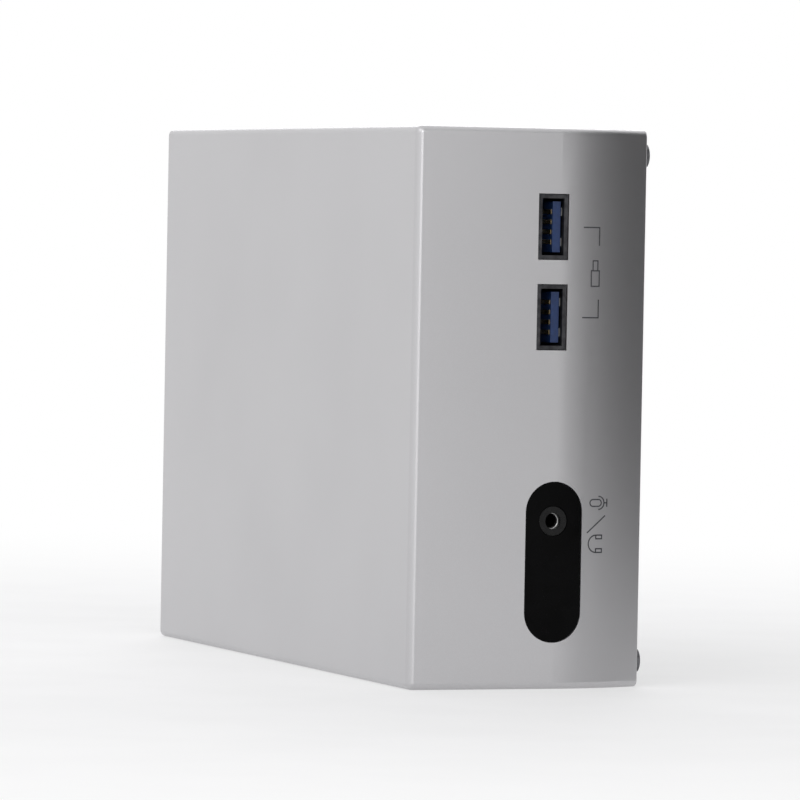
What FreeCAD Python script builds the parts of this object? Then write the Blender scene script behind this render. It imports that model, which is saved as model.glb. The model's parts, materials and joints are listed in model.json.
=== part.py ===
import FreeCAD, Part
import math
import os
import Sketcher

# A mini PC that stands on one of its narrow sides.
#
# X runs across the thickness, from the plain face (low X) to the base cover and its feet (high X).
# Y runs along the depth, from the port face (low Y) to the rear panel (high Y).
# Z runs up the width, from the narrow side that it stands on (Z = 0) to the other one.
# The origin is at the middle of the footprint.

doc = FreeCAD.newDocument("MiniPC")
sheet = doc.addObject("Spreadsheet::Sheet", "Sizes")
pieces = []
bound = []


# ---------------------------------------------------------------- sizes

class Size:
    """A length that knows its value and the expression that the document computes it with."""

    def __init__(self, value, text):
        self.value = float(value)
        self.text = text

    def __float__(self):
        return self.value

    def __add__(self, other):
        other = as_size(other)
        return Size(self.value + other.value, f"({self.text} + {other.text})")

    def __sub__(self, other):
        other = as_size(other)
        return Size(self.value - other.value, f"({self.text} - {other.text})")

    def __mul__(self, other):
        other = as_size(other)
        return Size(self.value * other.value, f"({self.text} * {other.text})")

    def __truediv__(self, other):
        other = as_size(other)
        return Size(self.value / other.value, f"({self.text} / {other.text})")

    def __radd__(self, other):
        return as_size(other) + self

    def __rsub__(self, other):
        return as_size(other) - self

    def __rmul__(self, other):
        return as_size(other) * self

    def __neg__(self):
        return as_size(0) - self

    def root(self):
        return Size(math.sqrt(self.value), f"sqrt({self.text})")


def as_size(number):
    return number if isinstance(number, Size) else Size(number, f"{number:g}")


def cell(name, value):
    """One driving dimension: a number in the next free cell, with its name as the alias."""
    cell.row += 1
    sheet.set(f"A{cell.row}", f"{value:g}")
    sheet.setAlias(f"A{cell.row}", name)
    return Size(value, f"Sizes.{name}")


cell.row = 0

# Case
case_thick = cell("case_thick", 56)
case_deep = cell("case_deep", 175)
case_tall = cell("case_tall", 123)
wall = cell("wall", 1.6)
edge_round = cell("edge_round", 1.5)
rim_round = cell("rim_round", 0.5)
flat_front = cell("flat_front", 34)
crown_drop = cell("crown_drop", 5)
cover_thick = cell("cover_thick", 1.5)
cover_gap = cell("cover_gap", 0.25)
boss_side = cell("boss_side", 8)
boss_long = cell("boss_long", 10)
foot_tall = cell("foot_tall", 2.5)
foot_radius = cell("foot_radius", 6)
foot_inset = cell("foot_inset", 19)
foot_round = cell("foot_round", 0.8)

# Vents
vent_wide = cell("vent_wide", 2.2)
vent_long = cell("vent_long", 14)
vent_pitch = cell("vent_pitch", 5)
vent_inset = cell("vent_inset", 6)
grille_long = cell("grille_long", 30)
grille_pitch = cell("grille_pitch", 6)
grille_offset = cell("grille_offset", 18)

# Fasteners
screw_radius = cell("screw_radius", 1.45)
screw_head_radius = cell("screw_head_radius", 2.7)
screw_head_tall = cell("screw_head_tall", 1.2)
thread_gap = cell("thread_gap", 0.05)
hole_gap = cell("hole_gap", 0.25)
screw_grip = cell("screw_grip", 6)
hole_spare = cell("hole_spare", 1)
socket_radius = cell("socket_radius", 1.1)
socket_deep = cell("socket_deep", 0.8)

# Port face
seat_gap = cell("seat_gap", 0.15)
usb_from_plain = cell("usb_from_plain", 32.2)
usb_from_top = cell("usb_from_top", 21.6)
usb_pitch = cell("usb_pitch", 19.8)
usb_open_wide = cell("usb_open_wide", 12.5)
usb_open_high = cell("usb_open_high", 5.12)
usb_metal = cell("usb_metal", 0.4)
usb_lip = cell("usb_lip", 0.45)
usb_lip_thick = cell("usb_lip_thick", 0.5)
usb_deep = cell("usb_deep", 15)
usb_recess = cell("usb_recess", 0.4)
usb_block = cell("usb_block", 2.4)
usb_tongue_thick = cell("usb_tongue_thick", 1.84)
usb_tongue_wide = cell("usb_tongue_wide", 11.1)
usb_tongue_gap = cell("usb_tongue_gap", 0.4)
usb_tongue_back = cell("usb_tongue_back", 1.2)
usb_stack_pitch = cell("usb_stack_pitch", 8)
contact_wide = cell("contact_wide", 1)
contact_thick = cell("contact_thick", 0.12)
contact_long = cell("contact_long", 8)
contact_pitch = cell("contact_pitch", 2.2)
contact_inset = cell("contact_inset", 0.8)
window_from_plain = cell("window_from_plain", 33.6)
window_from_floor = cell("window_from_floor", 27.9)
window_wide = cell("window_wide", 13.4)
window_tall = cell("window_tall", 35.4)
window_recess = cell("window_recess", 0.6)
window_flange = cell("window_flange", 1.5)
window_flange_thick = cell("window_flange_thick", 0.8)
audio_from_floor = cell("audio_from_floor", 36.9)
audio_bore = cell("audio_bore", 1.8)
audio_collar = cell("audio_collar", 3.2)
audio_deep = cell("audio_deep", 13)
audio_body_deep = cell("audio_body_deep", 14)
audio_body_wide = cell("audio_body_wide", 8.4)
receiver_radius = cell("receiver_radius", 2.4)
receiver_side = cell("receiver_side", 6.4)
receiver_lens = cell("receiver_lens", 1.6)

# Main board
board_thick = cell("board_thick", 1.6)
board_gap = cell("board_gap", 3)
standoff_radius = cell("standoff_radius", 2.75)
standoff_inset = cell("standoff_inset", 12)
standoff_end = cell("standoff_end", 21.5)
standoff_rear = cell("standoff_rear", 24.5)
board_front_gap = cell("board_front_gap", 0.3)
fit_gap = cell("fit_gap", 0.5)
hub_chip_side = cell("hub_chip_side", 12)
hub_chip_thick = cell("hub_chip_thick", 1.4)
small_chip_side = cell("small_chip_side", 7)
small_chip_thick = cell("small_chip_thick", 1.1)
firmware_wide = cell("firmware_wide", 5)
firmware_long = cell("firmware_long", 6)
firmware_thick = cell("firmware_thick", 1.8)
chip_gap = cell("chip_gap", 4)
port_chips_from_front = cell("port_chips_from_front", 22)
stage_pitch = cell("stage_pitch", 9)
choke_side = cell("choke_side", 7)
choke_tall = cell("choke_tall", 4)
can_radius = cell("can_radius", 2.6)
can_tall = cell("can_tall", 6)

# Rear panel and what it holds
panel_thick = cell("panel_thick", 1.2)
panel_frame = cell("panel_frame", 8)
panel_side_frame = cell("panel_side_frame", 6)
panel_lap = cell("panel_lap", 2.5)
panel_boss_long = cell("panel_boss_long", 14)
panel_screw_inset = cell("panel_screw_inset", 12.5)
lock_long = cell("lock_long", 7)
lock_wide = cell("lock_wide", 3)
inlet_wide = cell("inlet_wide", 9)
inlet_high = cell("inlet_high", 11)
inlet_deep = cell("inlet_deep", 14)
inlet_bore = cell("inlet_bore", 3.15)
inlet_pin = cell("inlet_pin", 1.25)
inlet_collar = cell("inlet_collar", 3.6)
inlet_back = cell("inlet_back", 3)
inlet_pin_short = cell("inlet_pin_short", 1)
display_wide = cell("display_wide", 16.4)
display_high = cell("display_high", 5.8)
video_wide = cell("video_wide", 15)
video_high = cell("video_high", 5.6)
socket_metal = cell("socket_metal", 0.4)
video_deep = cell("video_deep", 11)
blade_thick = cell("blade_thick", 1)
blade_side_gap = cell("blade_side_gap", 2)
flat_socket_back = cell("flat_socket_back", 1.5)
network_wide = cell("network_wide", 16)
network_high = cell("network_high", 13.5)
network_deep = cell("network_deep", 16)
network_open_wide = cell("network_open_wide", 11.8)
network_open_high = cell("network_open_high", 8)
network_open_deep = cell("network_open_deep", 12)
network_floor = cell("network_floor", 2)
latch_high = cell("latch_high", 2.4)
latch_wide = cell("latch_wide", 6)
button_radius = cell("button_radius", 4.8)
button_proud = cell("button_proud", 1)
button_travel = cell("button_travel", 0.6)
button_gap = cell("button_gap", 0.2)
button_lift = cell("button_lift", 8)
button_stem = cell("button_stem", 0.8)
ring_wide = cell("ring_wide", 1.2)
ring_back = cell("ring_back", 1)
ring_proud = cell("ring_proud", 0.3)
switch_side = cell("switch_side", 6)
switch_deep = cell("switch_deep", 3.5)
plunger_radius = cell("plunger_radius", 1.6)
plunger_long = cell("plunger_long", 1.8)
plunger_spare = cell("plunger_spare", 0.4)
switch_gap = cell("switch_gap", 0.3)

# Cooling
chip_side = cell("chip_side", 30)
chip_thick = cell("chip_thick", 1.2)
chip_from_front = cell("chip_from_front", 57)
plate_side = cell("plate_side", 38)
plate_thick = cell("plate_thick", 3)
pipe_wide = cell("pipe_wide", 8)
pipe_thick = cell("pipe_thick", 3)
pipe_pitch = cell("pipe_pitch", 14)
fin_stack_wide = cell("fin_stack_wide", 68)
fin_stack_tall = cell("fin_stack_tall", 15.5)
fin_stack_deep = cell("fin_stack_deep", 15)
fin_thick = cell("fin_thick", 0.4)
fin_pitch = cell("fin_pitch", 2.6)
fin_base = cell("fin_base", 1)
blower_gap = cell("blower_gap", 0.3)
blower_side = cell("blower_side", 62)
blower_tall = cell("blower_tall", 14)
blower_wall = cell("blower_wall", 1.2)
rotor_radius = cell("rotor_radius", 25)
rotor_hub = cell("rotor_hub", 11)
rotor_gap = cell("rotor_gap", 1.2)
blade_wall = cell("blade_wall", 0.8)
rotor_ring_tall = cell("rotor_ring_tall", 2.6)
shaft_radius = cell("shaft_radius", 1.5)
shaft_gap = cell("shaft_gap", 0.05)
intake_radius = cell("intake_radius", 20)

# Cards, memory and drive
memory_long = cell("memory_long", 69.6)
memory_wide = cell("memory_wide", 30)
memory_thick = cell("memory_thick", 1.2)
memory_lift = cell("memory_lift", 2.4)
memory_step = cell("memory_step", 4)
memory_from_front = cell("memory_from_front", 84)
memory_socket_long = cell("memory_socket_long", 74)
memory_socket_deep = cell("memory_socket_deep", 6.5)
memory_socket_tall = cell("memory_socket_tall", 9.2)
memory_grip = cell("memory_grip", 4)
memory_arm_thick = cell("memory_arm_thick", 2)
memory_arm_short = cell("memory_arm_short", 8)
card_wide = cell("card_wide", 22)
card_thick = cell("card_thick", 0.8)
card_lift = cell("card_lift", 1.9)
card_socket_deep = cell("card_socket_deep", 5)
card_socket_tall = cell("card_socket_tall", 4.2)
card_grip = cell("card_grip", 3)
card_side_gap = cell("card_side_gap", 0.5)
storage_long = cell("storage_long", 80)
storage_from_front = cell("storage_from_front", 65)
radio_long = cell("radio_long", 30)
radio_from_front = cell("radio_from_front", 28)
cell_radius = cell("cell_radius", 10)
cell_thick = cell("cell_thick", 3.2)
cell_wall = cell("cell_wall", 1)
cell_gap = cell("cell_gap", 0.1)
cell_cup_tall = cell("cell_cup_tall", 3.7)
cell_below_usb = cell("cell_below_usb", 8)
drive_long = cell("drive_long", 100)
drive_wide = cell("drive_wide", 69.85)
drive_tall = cell("drive_tall", 7)
drive_from_front = cell("drive_from_front", 39)
tray_lift = cell("tray_lift", 12)
tray_thick = cell("tray_thick", 1)
tray_tab = cell("tray_tab", 8)
tray_wall_tall = cell("tray_wall_tall", 5)
tray_wall_inset = cell("tray_wall_inset", 6)
tray_hole_wide = cell("tray_hole_wide", 33)
tray_hole_tall = cell("tray_hole_tall", 42)
post_inset = cell("post_inset", 5)
post_spread = cell("post_spread", 14)
plug_wide = cell("plug_wide", 34)
plug_deep = cell("plug_deep", 6)
plug_tall = cell("plug_tall", 5)
plug_inset = cell("plug_inset", 4)
plug_lift = cell("plug_lift", 1)
header_tall = cell("header_tall", 5)
header_rim = cell("header_rim", 1)
ribbon_thick = cell("ribbon_thick", 0.8)
ribbon_wide = cell("ribbon_wide", 22)

# Places that follow from the sizes
PLAIN = -(case_thick + foot_tall) / 2
BASE = PLAIN + case_thick
FRONT = -case_deep / 2
REAR = case_deep / 2
MIDDLE = case_tall / 2
CROWN_START = PLAIN + flat_front
crown_run = case_thick - flat_front
crown_radius = (crown_run * crown_run + crown_drop * crown_drop) / (2 * crown_drop)
inner_crown = crown_radius - wall
COVER_BACK = BASE - cover_thick
usb_wide = usb_open_wide + 2 * usb_metal
usb_high = usb_open_high + 2 * usb_metal
usb_lip_wide = usb_wide + 2 * usb_lip
usb_lip_high = usb_high + 2 * usb_lip
USB_X = PLAIN + usb_from_plain
USB_UPPER = case_tall - usb_from_top
USB_LOWER = USB_UPPER - usb_pitch
WINDOW_X = PLAIN + window_from_plain
FLANGE_REACH = WINDOW_X + window_wide / 2 + window_flange - CROWN_START
WINDOW_SET = inner_crown - (inner_crown * inner_crown - FLANGE_REACH * FLANGE_REACH).root()
FLANGE_FRONT = FRONT + wall + WINDOW_SET + thread_gap
WINDOW_BACK = FLANGE_FRONT + window_flange_thick
BOARD_FACE = USB_X - usb_high / 2
BOARD_BACK = BOARD_FACE - board_thick
BOARD_FRONT = WINDOW_BACK + board_front_gap
PANEL_OUT = REAR - wall
PANEL_IN = PANEL_OUT - panel_thick
BOARD_REAR = PANEL_IN - fit_gap
SIDE_LOW = wall
SIDE_HIGH = case_tall - wall
OPENING_LOW = panel_frame
OPENING_HIGH = case_tall - panel_frame
TOUCH = 0.01  # two faces closer than this are the same face


# ---------------------------------------------------------------- building blocks

AXIS_TURN = {
    "X": FreeCAD.Rotation(FreeCAD.Vector(0, 1, 0), 90),
    "Y": FreeCAD.Rotation(FreeCAD.Vector(1, 0, 0), -90),
    "Z": FreeCAD.Rotation(),
}


def bind(item, prop, size):
    size = as_size(size)
    item.setExpression(prop, size.text)
    bound.append((item, size))


def place(item, at):
    for axis, size in zip("xyz", at):
        bind(item, f"Placement.Base.{axis}", size)


def block(name, at, size):
    """A box with its low corner at a point."""
    item = doc.addObject("Part::Box", name)
    for prop, length in zip(("Length", "Width", "Height"), size):
        bind(item, prop, length)
    place(item, at)
    return item


def centred(name, at, size):
    """A box whose middle in Y and Z is at a point, and which starts at the point's X."""
    return block(name, (at[0], at[1] - size[1] / 2, at[2] - size[2] / 2), size)


def rod(name, at, radius, length, axis):
    """A cylinder that starts at a point and runs along an axis."""
    item = doc.addObject("Part::Cylinder", name)
    bind(item, "Radius", radius)
    bind(item, "Height", length)
    item.Placement = FreeCAD.Placement(FreeCAD.Vector(), AXIS_TURN[axis])
    place(item, at)
    return item


def fuse(name, *parts):
    item = doc.addObject("Part::MultiFuse", name)
    item.Shapes = list(parts)
    return item


def cut(name, base, *tools):
    item = doc.addObject("Part::Cut", name)
    item.Base = base
    item.Tool = tools[0] if len(tools) == 1 else fuse(f"{name}_openings", *tools)
    return item


def group(name, solids):
    """Separate solids that share one node."""
    item = doc.addObject("Part::Compound", name)
    item.Links = list(solids)
    return item


def keep(item, node):
    """Registers an object as a piece, under its node's name."""
    item.Label = node
    pieces.append(item)
    return item


def screw(name, at, grip, axis):
    """A socket-head screw whose head sits on a face; its shank runs back along the axis."""
    step = {"X": (1, 0, 0), "Y": (0, 1, 0), "Z": (0, 0, 1)}[axis]
    root = tuple(place_of - way * grip for place_of, way in zip(at, step))
    recess = tuple(place_of + way * (screw_head_tall - socket_deep) for place_of, way in zip(at, step))
    shank = rod(f"{name}_shank", root, screw_radius, grip, axis)
    head = rod(f"{name}_head", at, screw_head_radius, screw_head_tall, axis)
    socket = rod(f"{name}_socket", recess, socket_radius, socket_deep, axis)
    return cut(name, fuse(f"{name}_blank", shank, head), socket)


# ---------------------------------------------------------------- sketches and bodies

def vector(point):
    return FreeCAD.Vector(float(point[0]), float(point[1]), 0)


def body_plane(body, role):
    return next(item for item in body.Origin.OriginFeatures if item.Role == role)


def new_sketch(body, name, role, offset):
    sketch = body.newObject("Sketcher::SketchObject", name)
    sketch.AttachmentSupport = [(body_plane(body, role), "")]
    sketch.MapMode = "FlatFace"
    bind(sketch, "AttachmentOffset.Base.z", offset)
    return sketch


def limit(sketch, kind, *ends, size):
    """A dimension of a sketch, bound to its size."""
    index = sketch.addConstraint(Sketcher.Constraint(kind, *ends, float(size)))
    bind(sketch, f"Constraints[{index}]", size)


def pin(sketch, edge, end, point):
    limit(sketch, "DistanceX", -1, 1, edge, end, size=point[0])
    limit(sketch, "DistanceY", -1, 1, edge, end, size=point[1])


def draw_rectangle(sketch, low, high):
    corners = [(low[0], low[1]), (high[0], low[1]), (high[0], high[1]), (low[0], high[1])]
    first = sketch.GeometryCount
    for start, end in zip(corners, corners[1:] + corners[:1]):
        sketch.addGeometry(Part.LineSegment(vector(start), vector(end)))
    for side in range(4):
        following = first + (side + 1) % 4
        sketch.addConstraint(Sketcher.Constraint("Coincident", first + side, 2, following, 1))
        kind = "Vertical" if side % 2 else "Horizontal"
        sketch.addConstraint(Sketcher.Constraint(kind, first + side))
    pin(sketch, first, 1, low)
    pin(sketch, first + 2, 1, high)


def draw_circle(sketch, centre, radius):
    circle = Part.Circle(vector(centre), FreeCAD.Vector(0, 0, 1), float(radius))
    edge = sketch.addGeometry(circle)
    pin(sketch, edge, 3, centre)
    limit(sketch, "Radius", edge, size=radius)


def draw_slot(sketch, centre, wide, tall):
    """An upright slot with full-round ends."""
    radius = wide / 2
    top = (centre[0], centre[1] + tall / 2 - radius)
    bottom = (centre[0], centre[1] - tall / 2 + radius)
    up = FreeCAD.Vector(0, 0, 1)
    right = (centre[0] + radius, centre[0] - radius)
    first = sketch.GeometryCount
    sketch.addGeometry(Part.ArcOfCircle(Part.Circle(vector(top), up, float(radius)), 0, math.pi))
    sketch.addGeometry(Part.LineSegment(vector((right[1], top[1])), vector((right[1], bottom[1]))))
    sketch.addGeometry(Part.ArcOfCircle(Part.Circle(vector(bottom), up, float(radius)), math.pi, 2 * math.pi))
    sketch.addGeometry(Part.LineSegment(vector((right[0], bottom[1])), vector((right[0], top[1]))))
    for edge in range(4):
        following = first + (edge + 1) % 4
        sketch.addConstraint(Sketcher.Constraint("Tangent", first + edge, 2, following, 1))
    pin(sketch, first, 3, top)
    pin(sketch, first + 2, 3, bottom)
    limit(sketch, "Radius", first, size=radius)
    sketch.addConstraint(Sketcher.Constraint("Equal", first, first + 2))


def draw_crowned_outline(sketch, low, high, crown_x, radius):
    """A rectangle whose low-Y side is flat up to crown_x and then follows an arc away from it."""
    centre = (crown_x, low[1] + radius)
    fall = radius - (radius * radius - (high[0] - crown_x) * (high[0] - crown_x)).root()
    crown_end = (high[0], low[1] + fall)
    turn = math.asin((float(high[0]) - float(crown_x)) / float(radius))
    up = FreeCAD.Vector(0, 0, 1)
    arc = Part.Circle(vector(centre), up, float(radius))
    sketch.addGeometry(Part.LineSegment(vector(low), vector((crown_x, low[1]))))
    sketch.addGeometry(Part.ArcOfCircle(arc, -math.pi / 2, turn - math.pi / 2))
    sketch.addGeometry(Part.LineSegment(vector(crown_end), vector(high)))
    sketch.addGeometry(Part.LineSegment(vector(high), vector((low[0], high[1]))))
    sketch.addGeometry(Part.LineSegment(vector((low[0], high[1])), vector(low)))
    sketch.addConstraint(Sketcher.Constraint("Tangent", 0, 2, 1, 1))
    for edge in (1, 2, 3, 4):
        sketch.addConstraint(Sketcher.Constraint("Coincident", edge, 2, (edge + 1) % 5, 1))
    for edge, kind in ((0, "Horizontal"), (2, "Vertical"), (3, "Horizontal"), (4, "Vertical")):
        sketch.addConstraint(Sketcher.Constraint(kind, edge))
    pin(sketch, 0, 1, low)
    pin(sketch, 3, 1, high)
    limit(sketch, "DistanceX", -1, 1, 0, 2, size=crown_x)
    limit(sketch, "Radius", 1, size=radius)


def add_feature(body, kind, name, sketch, length, reverse=False):
    """A Pad along the sketch's normal, or a Pocket against it; reverse turns either round."""
    feature = body.newObject(f"PartDesign::{kind}", name)
    feature.Profile = sketch
    bind(feature, "Length", length)
    feature.Reversed = reverse
    sketch.Visibility = False
    doc.recompute()
    return feature


def add_row(body, name, feature, axis_role, pitch, count):
    """Repeats a feature along one of the body's own axes."""
    pattern = body.newObject("PartDesign::LinearPattern", name)
    pattern.Originals = [feature]
    pattern.Direction = (body_plane(body, axis_role), [""])
    bind(pattern, "Length", pitch * (count - 1))
    pattern.Occurrences = count
    body.Tip = pattern
    doc.recompute()
    return pattern


def add_round(body, name, feature, radius, wanted):
    """Rounds the feature's edges that the test picks."""
    edges = [f"Edge{i}" for i, edge in enumerate(feature.Shape.Edges, start=1) if wanted(edge)]
    fillet = body.newObject("PartDesign::Fillet", name)
    fillet.Base = (feature, edges)
    bind(fillet, "Radius", radius)
    doc.recompute()
    return fillet


# ---------------------------------------------------------------- case

COVER_FRONT = FRONT + crown_radius - (inner_crown * inner_crown - crown_run * crown_run).root() + cover_gap
COVER_REAR = REAR - wall - cover_gap
COVER_LOW = SIDE_LOW + cover_gap
COVER_HIGH = SIDE_HIGH - cover_gap
BOSS_FRONT = FRONT + crown_drop
BOSS_REAR = PANEL_IN - hole_gap
COVER_SCREW_Y = (BOSS_FRONT + boss_side / 2, BOSS_REAR - boss_side / 2)
COVER_SCREW_Z = (SIDE_LOW + boss_side / 2, SIDE_HIGH - boss_side / 2)
PANEL_SCREW_X = PLAIN + panel_screw_inset
PANEL_SCREW_Z = (panel_screw_inset, case_tall - panel_screw_inset)
SIDE_VENTS = 16
COVER_VENTS = 12


def is_outer_rim(edge):
    """Edges of the case block that show, apart from those around the base and the crown's seam."""
    box = edge.BoundBox
    on_base = box.XMin > float(BASE) - TOUCH
    crown_seam = box.XLength < TOUCH and abs(box.XMin - float(CROWN_START)) < TOUCH
    return not on_base and not crown_seam


def is_base_rim(edge):
    return edge.BoundBox.XMin > float(BASE) - TOUCH


def make_case_shell():
    body = doc.addObject("PartDesign::Body", "case_body")
    outline = new_sketch(body, "case_outline", "XY_Plane", 0)
    draw_crowned_outline(outline, (PLAIN, FRONT), (BASE, REAR), CROWN_START, crown_radius)
    solid = add_feature(body, "Pad", "case_solid", outline, case_tall)
    rounded = add_round(body, "case_edges", solid, edge_round, is_outer_rim)
    add_round(body, "case_base_edges", rounded, rim_round, is_base_rim)

    hollow = new_sketch(body, "case_hollow_outline", "XY_Plane", wall)
    beyond = BASE + wall
    inner_low = (PLAIN + wall, FRONT + wall)
    draw_crowned_outline(hollow, inner_low, (beyond, REAR - wall), CROWN_START, inner_crown)
    add_feature(body, "Pocket", "case_hollow", hollow, case_tall - 2 * wall, reverse=True)

    bosses = new_sketch(body, "cover_boss_outline", "YZ_Plane", COVER_BACK - boss_long)
    for low_y in (BOSS_FRONT, BOSS_REAR - boss_side):
        draw_rectangle(bosses, (low_y, wall / 2), (low_y + boss_side, SIDE_LOW + boss_side))
        draw_rectangle(bosses, (low_y, SIDE_HIGH - boss_side), (low_y + boss_side, case_tall - wall / 2))
    add_feature(body, "Pad", "cover_bosses", bosses, boss_long)
    tapped = new_sketch(body, "cover_boss_holes_outline", "YZ_Plane", COVER_BACK)
    for y in COVER_SCREW_Y:
        for z in COVER_SCREW_Z:
            draw_circle(tapped, (y, z), screw_radius + thread_gap)
    add_feature(body, "Pocket", "cover_boss_holes", tapped, screw_grip + hole_spare)

    ports = new_sketch(body, "port_outline", "XZ_Plane", -FRONT)
    for z in (USB_UPPER, USB_LOWER):
        low = (USB_X - usb_lip_high / 2 - seat_gap, z - usb_lip_wide / 2 - seat_gap)
        high = (USB_X + usb_lip_high / 2 + seat_gap, z + usb_lip_wide / 2 + seat_gap)
        draw_rectangle(ports, low, high)
    draw_slot(ports, (WINDOW_X, window_from_floor), window_wide, window_tall)
    add_feature(body, "Pocket", "port_openings", ports, 2 * wall)

    rear = new_sketch(body, "rear_outline", "XZ_Plane", -REAR)
    low = (PLAIN + panel_side_frame, OPENING_LOW)
    high = (BASE - panel_side_frame, OPENING_HIGH)
    draw_rectangle(rear, low, high)
    lock_low = (USB_X, OPENING_HIGH + panel_lap + hole_gap)
    draw_rectangle(rear, lock_low, (USB_X + lock_long, lock_low[1] + lock_wide))
    add_feature(body, "Pocket", "rear_opening", rear, wall, reverse=True)

    vent = new_sketch(body, "side_vent_outline", "XY_Plane", case_tall)
    first_vent = -vent_pitch * (SIDE_VENTS - 1) / 2
    vent_low = (PLAIN + vent_inset, first_vent - vent_wide / 2)
    draw_rectangle(vent, vent_low, (vent_low[0] + vent_long, first_vent + vent_wide / 2))
    slot = add_feature(body, "Pocket", "side_vent", vent, case_tall)
    add_row(body, "side_vents", slot, "Y_Axis", vent_pitch, SIDE_VENTS)

    posts = []
    for number, low_z in enumerate((wall / 2, case_tall - wall / 2 - panel_boss_long)):
        corner = (PANEL_SCREW_X - boss_side / 2, PANEL_IN - boss_side, low_z)
        posts.append(block(f"panel_boss_{number}", corner, (boss_side, boss_side, panel_boss_long)))
    bosses_added = fuse("case_with_bosses", body, *posts)
    holes = []
    for number, z in enumerate(PANEL_SCREW_Z):
        start = (PANEL_SCREW_X, PANEL_IN - screw_grip - hole_spare, z)
        holes.append(rod(f"panel_boss_hole_{number}", start, screw_radius + thread_gap, boss_side, "Y"))
    keep(cut("case_drilled", bosses_added, *holes), "case_shell")


def make_base_cover():
    body = doc.addObject("PartDesign::Body", "cover_body")
    outline = new_sketch(body, "cover_outline", "YZ_Plane", COVER_BACK)
    draw_rectangle(outline, (COVER_FRONT, COVER_LOW), (COVER_REAR, COVER_HIGH))
    add_feature(body, "Pad", "cover_plate", outline, cover_thick)
    holes = new_sketch(body, "cover_holes_outline", "YZ_Plane", BASE)
    for y in COVER_SCREW_Y:
        for z in COVER_SCREW_Z:
            draw_circle(holes, (y, z), screw_radius + hole_gap)
    add_feature(body, "Pocket", "cover_holes", holes, cover_thick)
    vents = new_sketch(body, "cover_vent_outline", "YZ_Plane", BASE)
    first_vent = MIDDLE - grille_pitch * (COVER_VENTS - 1) / 2
    for side in (-1, 1):
        low_y = side * grille_offset - grille_long / 2
        vent_high = (low_y + grille_long, first_vent + vent_wide / 2)
        draw_rectangle(vents, (low_y, first_vent - vent_wide / 2), vent_high)
    slot = add_feature(body, "Pocket", "cover_vent", vents, cover_thick)
    add_row(body, "cover_vents", slot, "Z_Axis", grille_pitch, COVER_VENTS)
    keep(body, "base_cover")

    screws = []
    for row, y in enumerate(COVER_SCREW_Y):
        for column, z in enumerate(COVER_SCREW_Z):
            name = f"cover_screw_{row}{column}"
            screws.append(screw(name, (BASE, y, z), cover_thick + screw_grip, "X"))
    keep(group("cover_screw_group", screws), "base_cover_screws")


def make_foot(name, y, z):
    """A round rubber foot with a rounded rim."""
    body = doc.addObject("PartDesign::Body", name)
    outline = new_sketch(body, f"{name}_outline", "YZ_Plane", BASE)
    draw_circle(outline, (y, z), foot_radius)
    disc = add_feature(body, "Pad", f"{name}_disc", outline, foot_tall)
    top = float(BASE + foot_tall) - TOUCH
    add_round(body, f"{name}_rim", disc, foot_round, lambda edge: edge.BoundBox.XMin > top)
    return body


def make_rubber_feet():
    feet = []
    for row, y in enumerate((COVER_FRONT + foot_inset, COVER_REAR - foot_inset)):
        for column, z in enumerate((COVER_LOW + foot_inset, COVER_HIGH - foot_inset)):
            feet.append(make_foot(f"foot_{row}{column}", y, z))
    keep(group("foot_group", feet), "rubber_feet")


# ---------------------------------------------------------------- port face

def usb_port(name, mouth, way, x, z):
    """Metal shell, plastic tongue and contacts of one socket; way is +1 where it opens to high Y."""
    low_y = mouth if way < 0 else mouth - usb_deep
    lip_y = mouth if way < 0 else mouth - usb_lip_thick
    outer_corner = (x - usb_high / 2, low_y, z - usb_wide / 2)
    outer = block(f"{name}_outer", outer_corner, (usb_high, usb_deep, usb_wide))
    lip_corner = (x - usb_lip_high / 2, lip_y, z - usb_lip_wide / 2)
    lip = block(f"{name}_lip", lip_corner, (usb_lip_high, usb_lip_thick, usb_lip_wide))
    opening = (x - usb_open_high / 2, low_y, z - usb_open_wide / 2)
    inner = block(f"{name}_inner", opening, (usb_open_high, usb_deep, usb_open_wide))
    shell = cut(f"{name}_shell", fuse(f"{name}_blank", outer, lip), inner)

    block_y = low_y + usb_deep - usb_block if way < 0 else low_y
    filler_corner = (opening[0], block_y, opening[2])
    filler = block(f"{name}_filler", filler_corner, (usb_open_high, usb_block, usb_open_wide))
    reach = usb_deep - usb_tongue_back
    blade_y = low_y + usb_tongue_back if way < 0 else low_y
    blade_x = x + usb_open_high / 2 - usb_tongue_gap - usb_tongue_thick
    corner = (blade_x, blade_y, z - usb_tongue_wide / 2)
    blade = block(f"{name}_blade", corner, (usb_tongue_thick, reach, usb_tongue_wide))
    tongue = fuse(f"{name}_tongue", filler, blade)

    contact_y = blade_y + contact_inset if way < 0 else blade_y + reach - contact_inset - contact_long
    strips = []
    for number in range(4):
        strip_z = z + contact_pitch * (number - 1.5) - contact_wide / 2
        start = (blade_x - contact_thick, contact_y, strip_z)
        strips.append(block(f"{name}_contact_{number}", start, (contact_thick, contact_long, contact_wide)))
    return shell, tongue, strips


def make_front_usb():
    contacts = []
    mouth = FRONT + usb_recess
    for node, z in (("upper", USB_UPPER), ("lower", USB_LOWER)):
        shell, tongue, strips = usb_port(f"usb_{node}", mouth, -1, USB_X, z)
        keep(shell, f"usb_shell_front_{node}")
        keep(tongue, f"usb_tongue_front_{node}")
        contacts += strips
    return contacts


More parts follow.
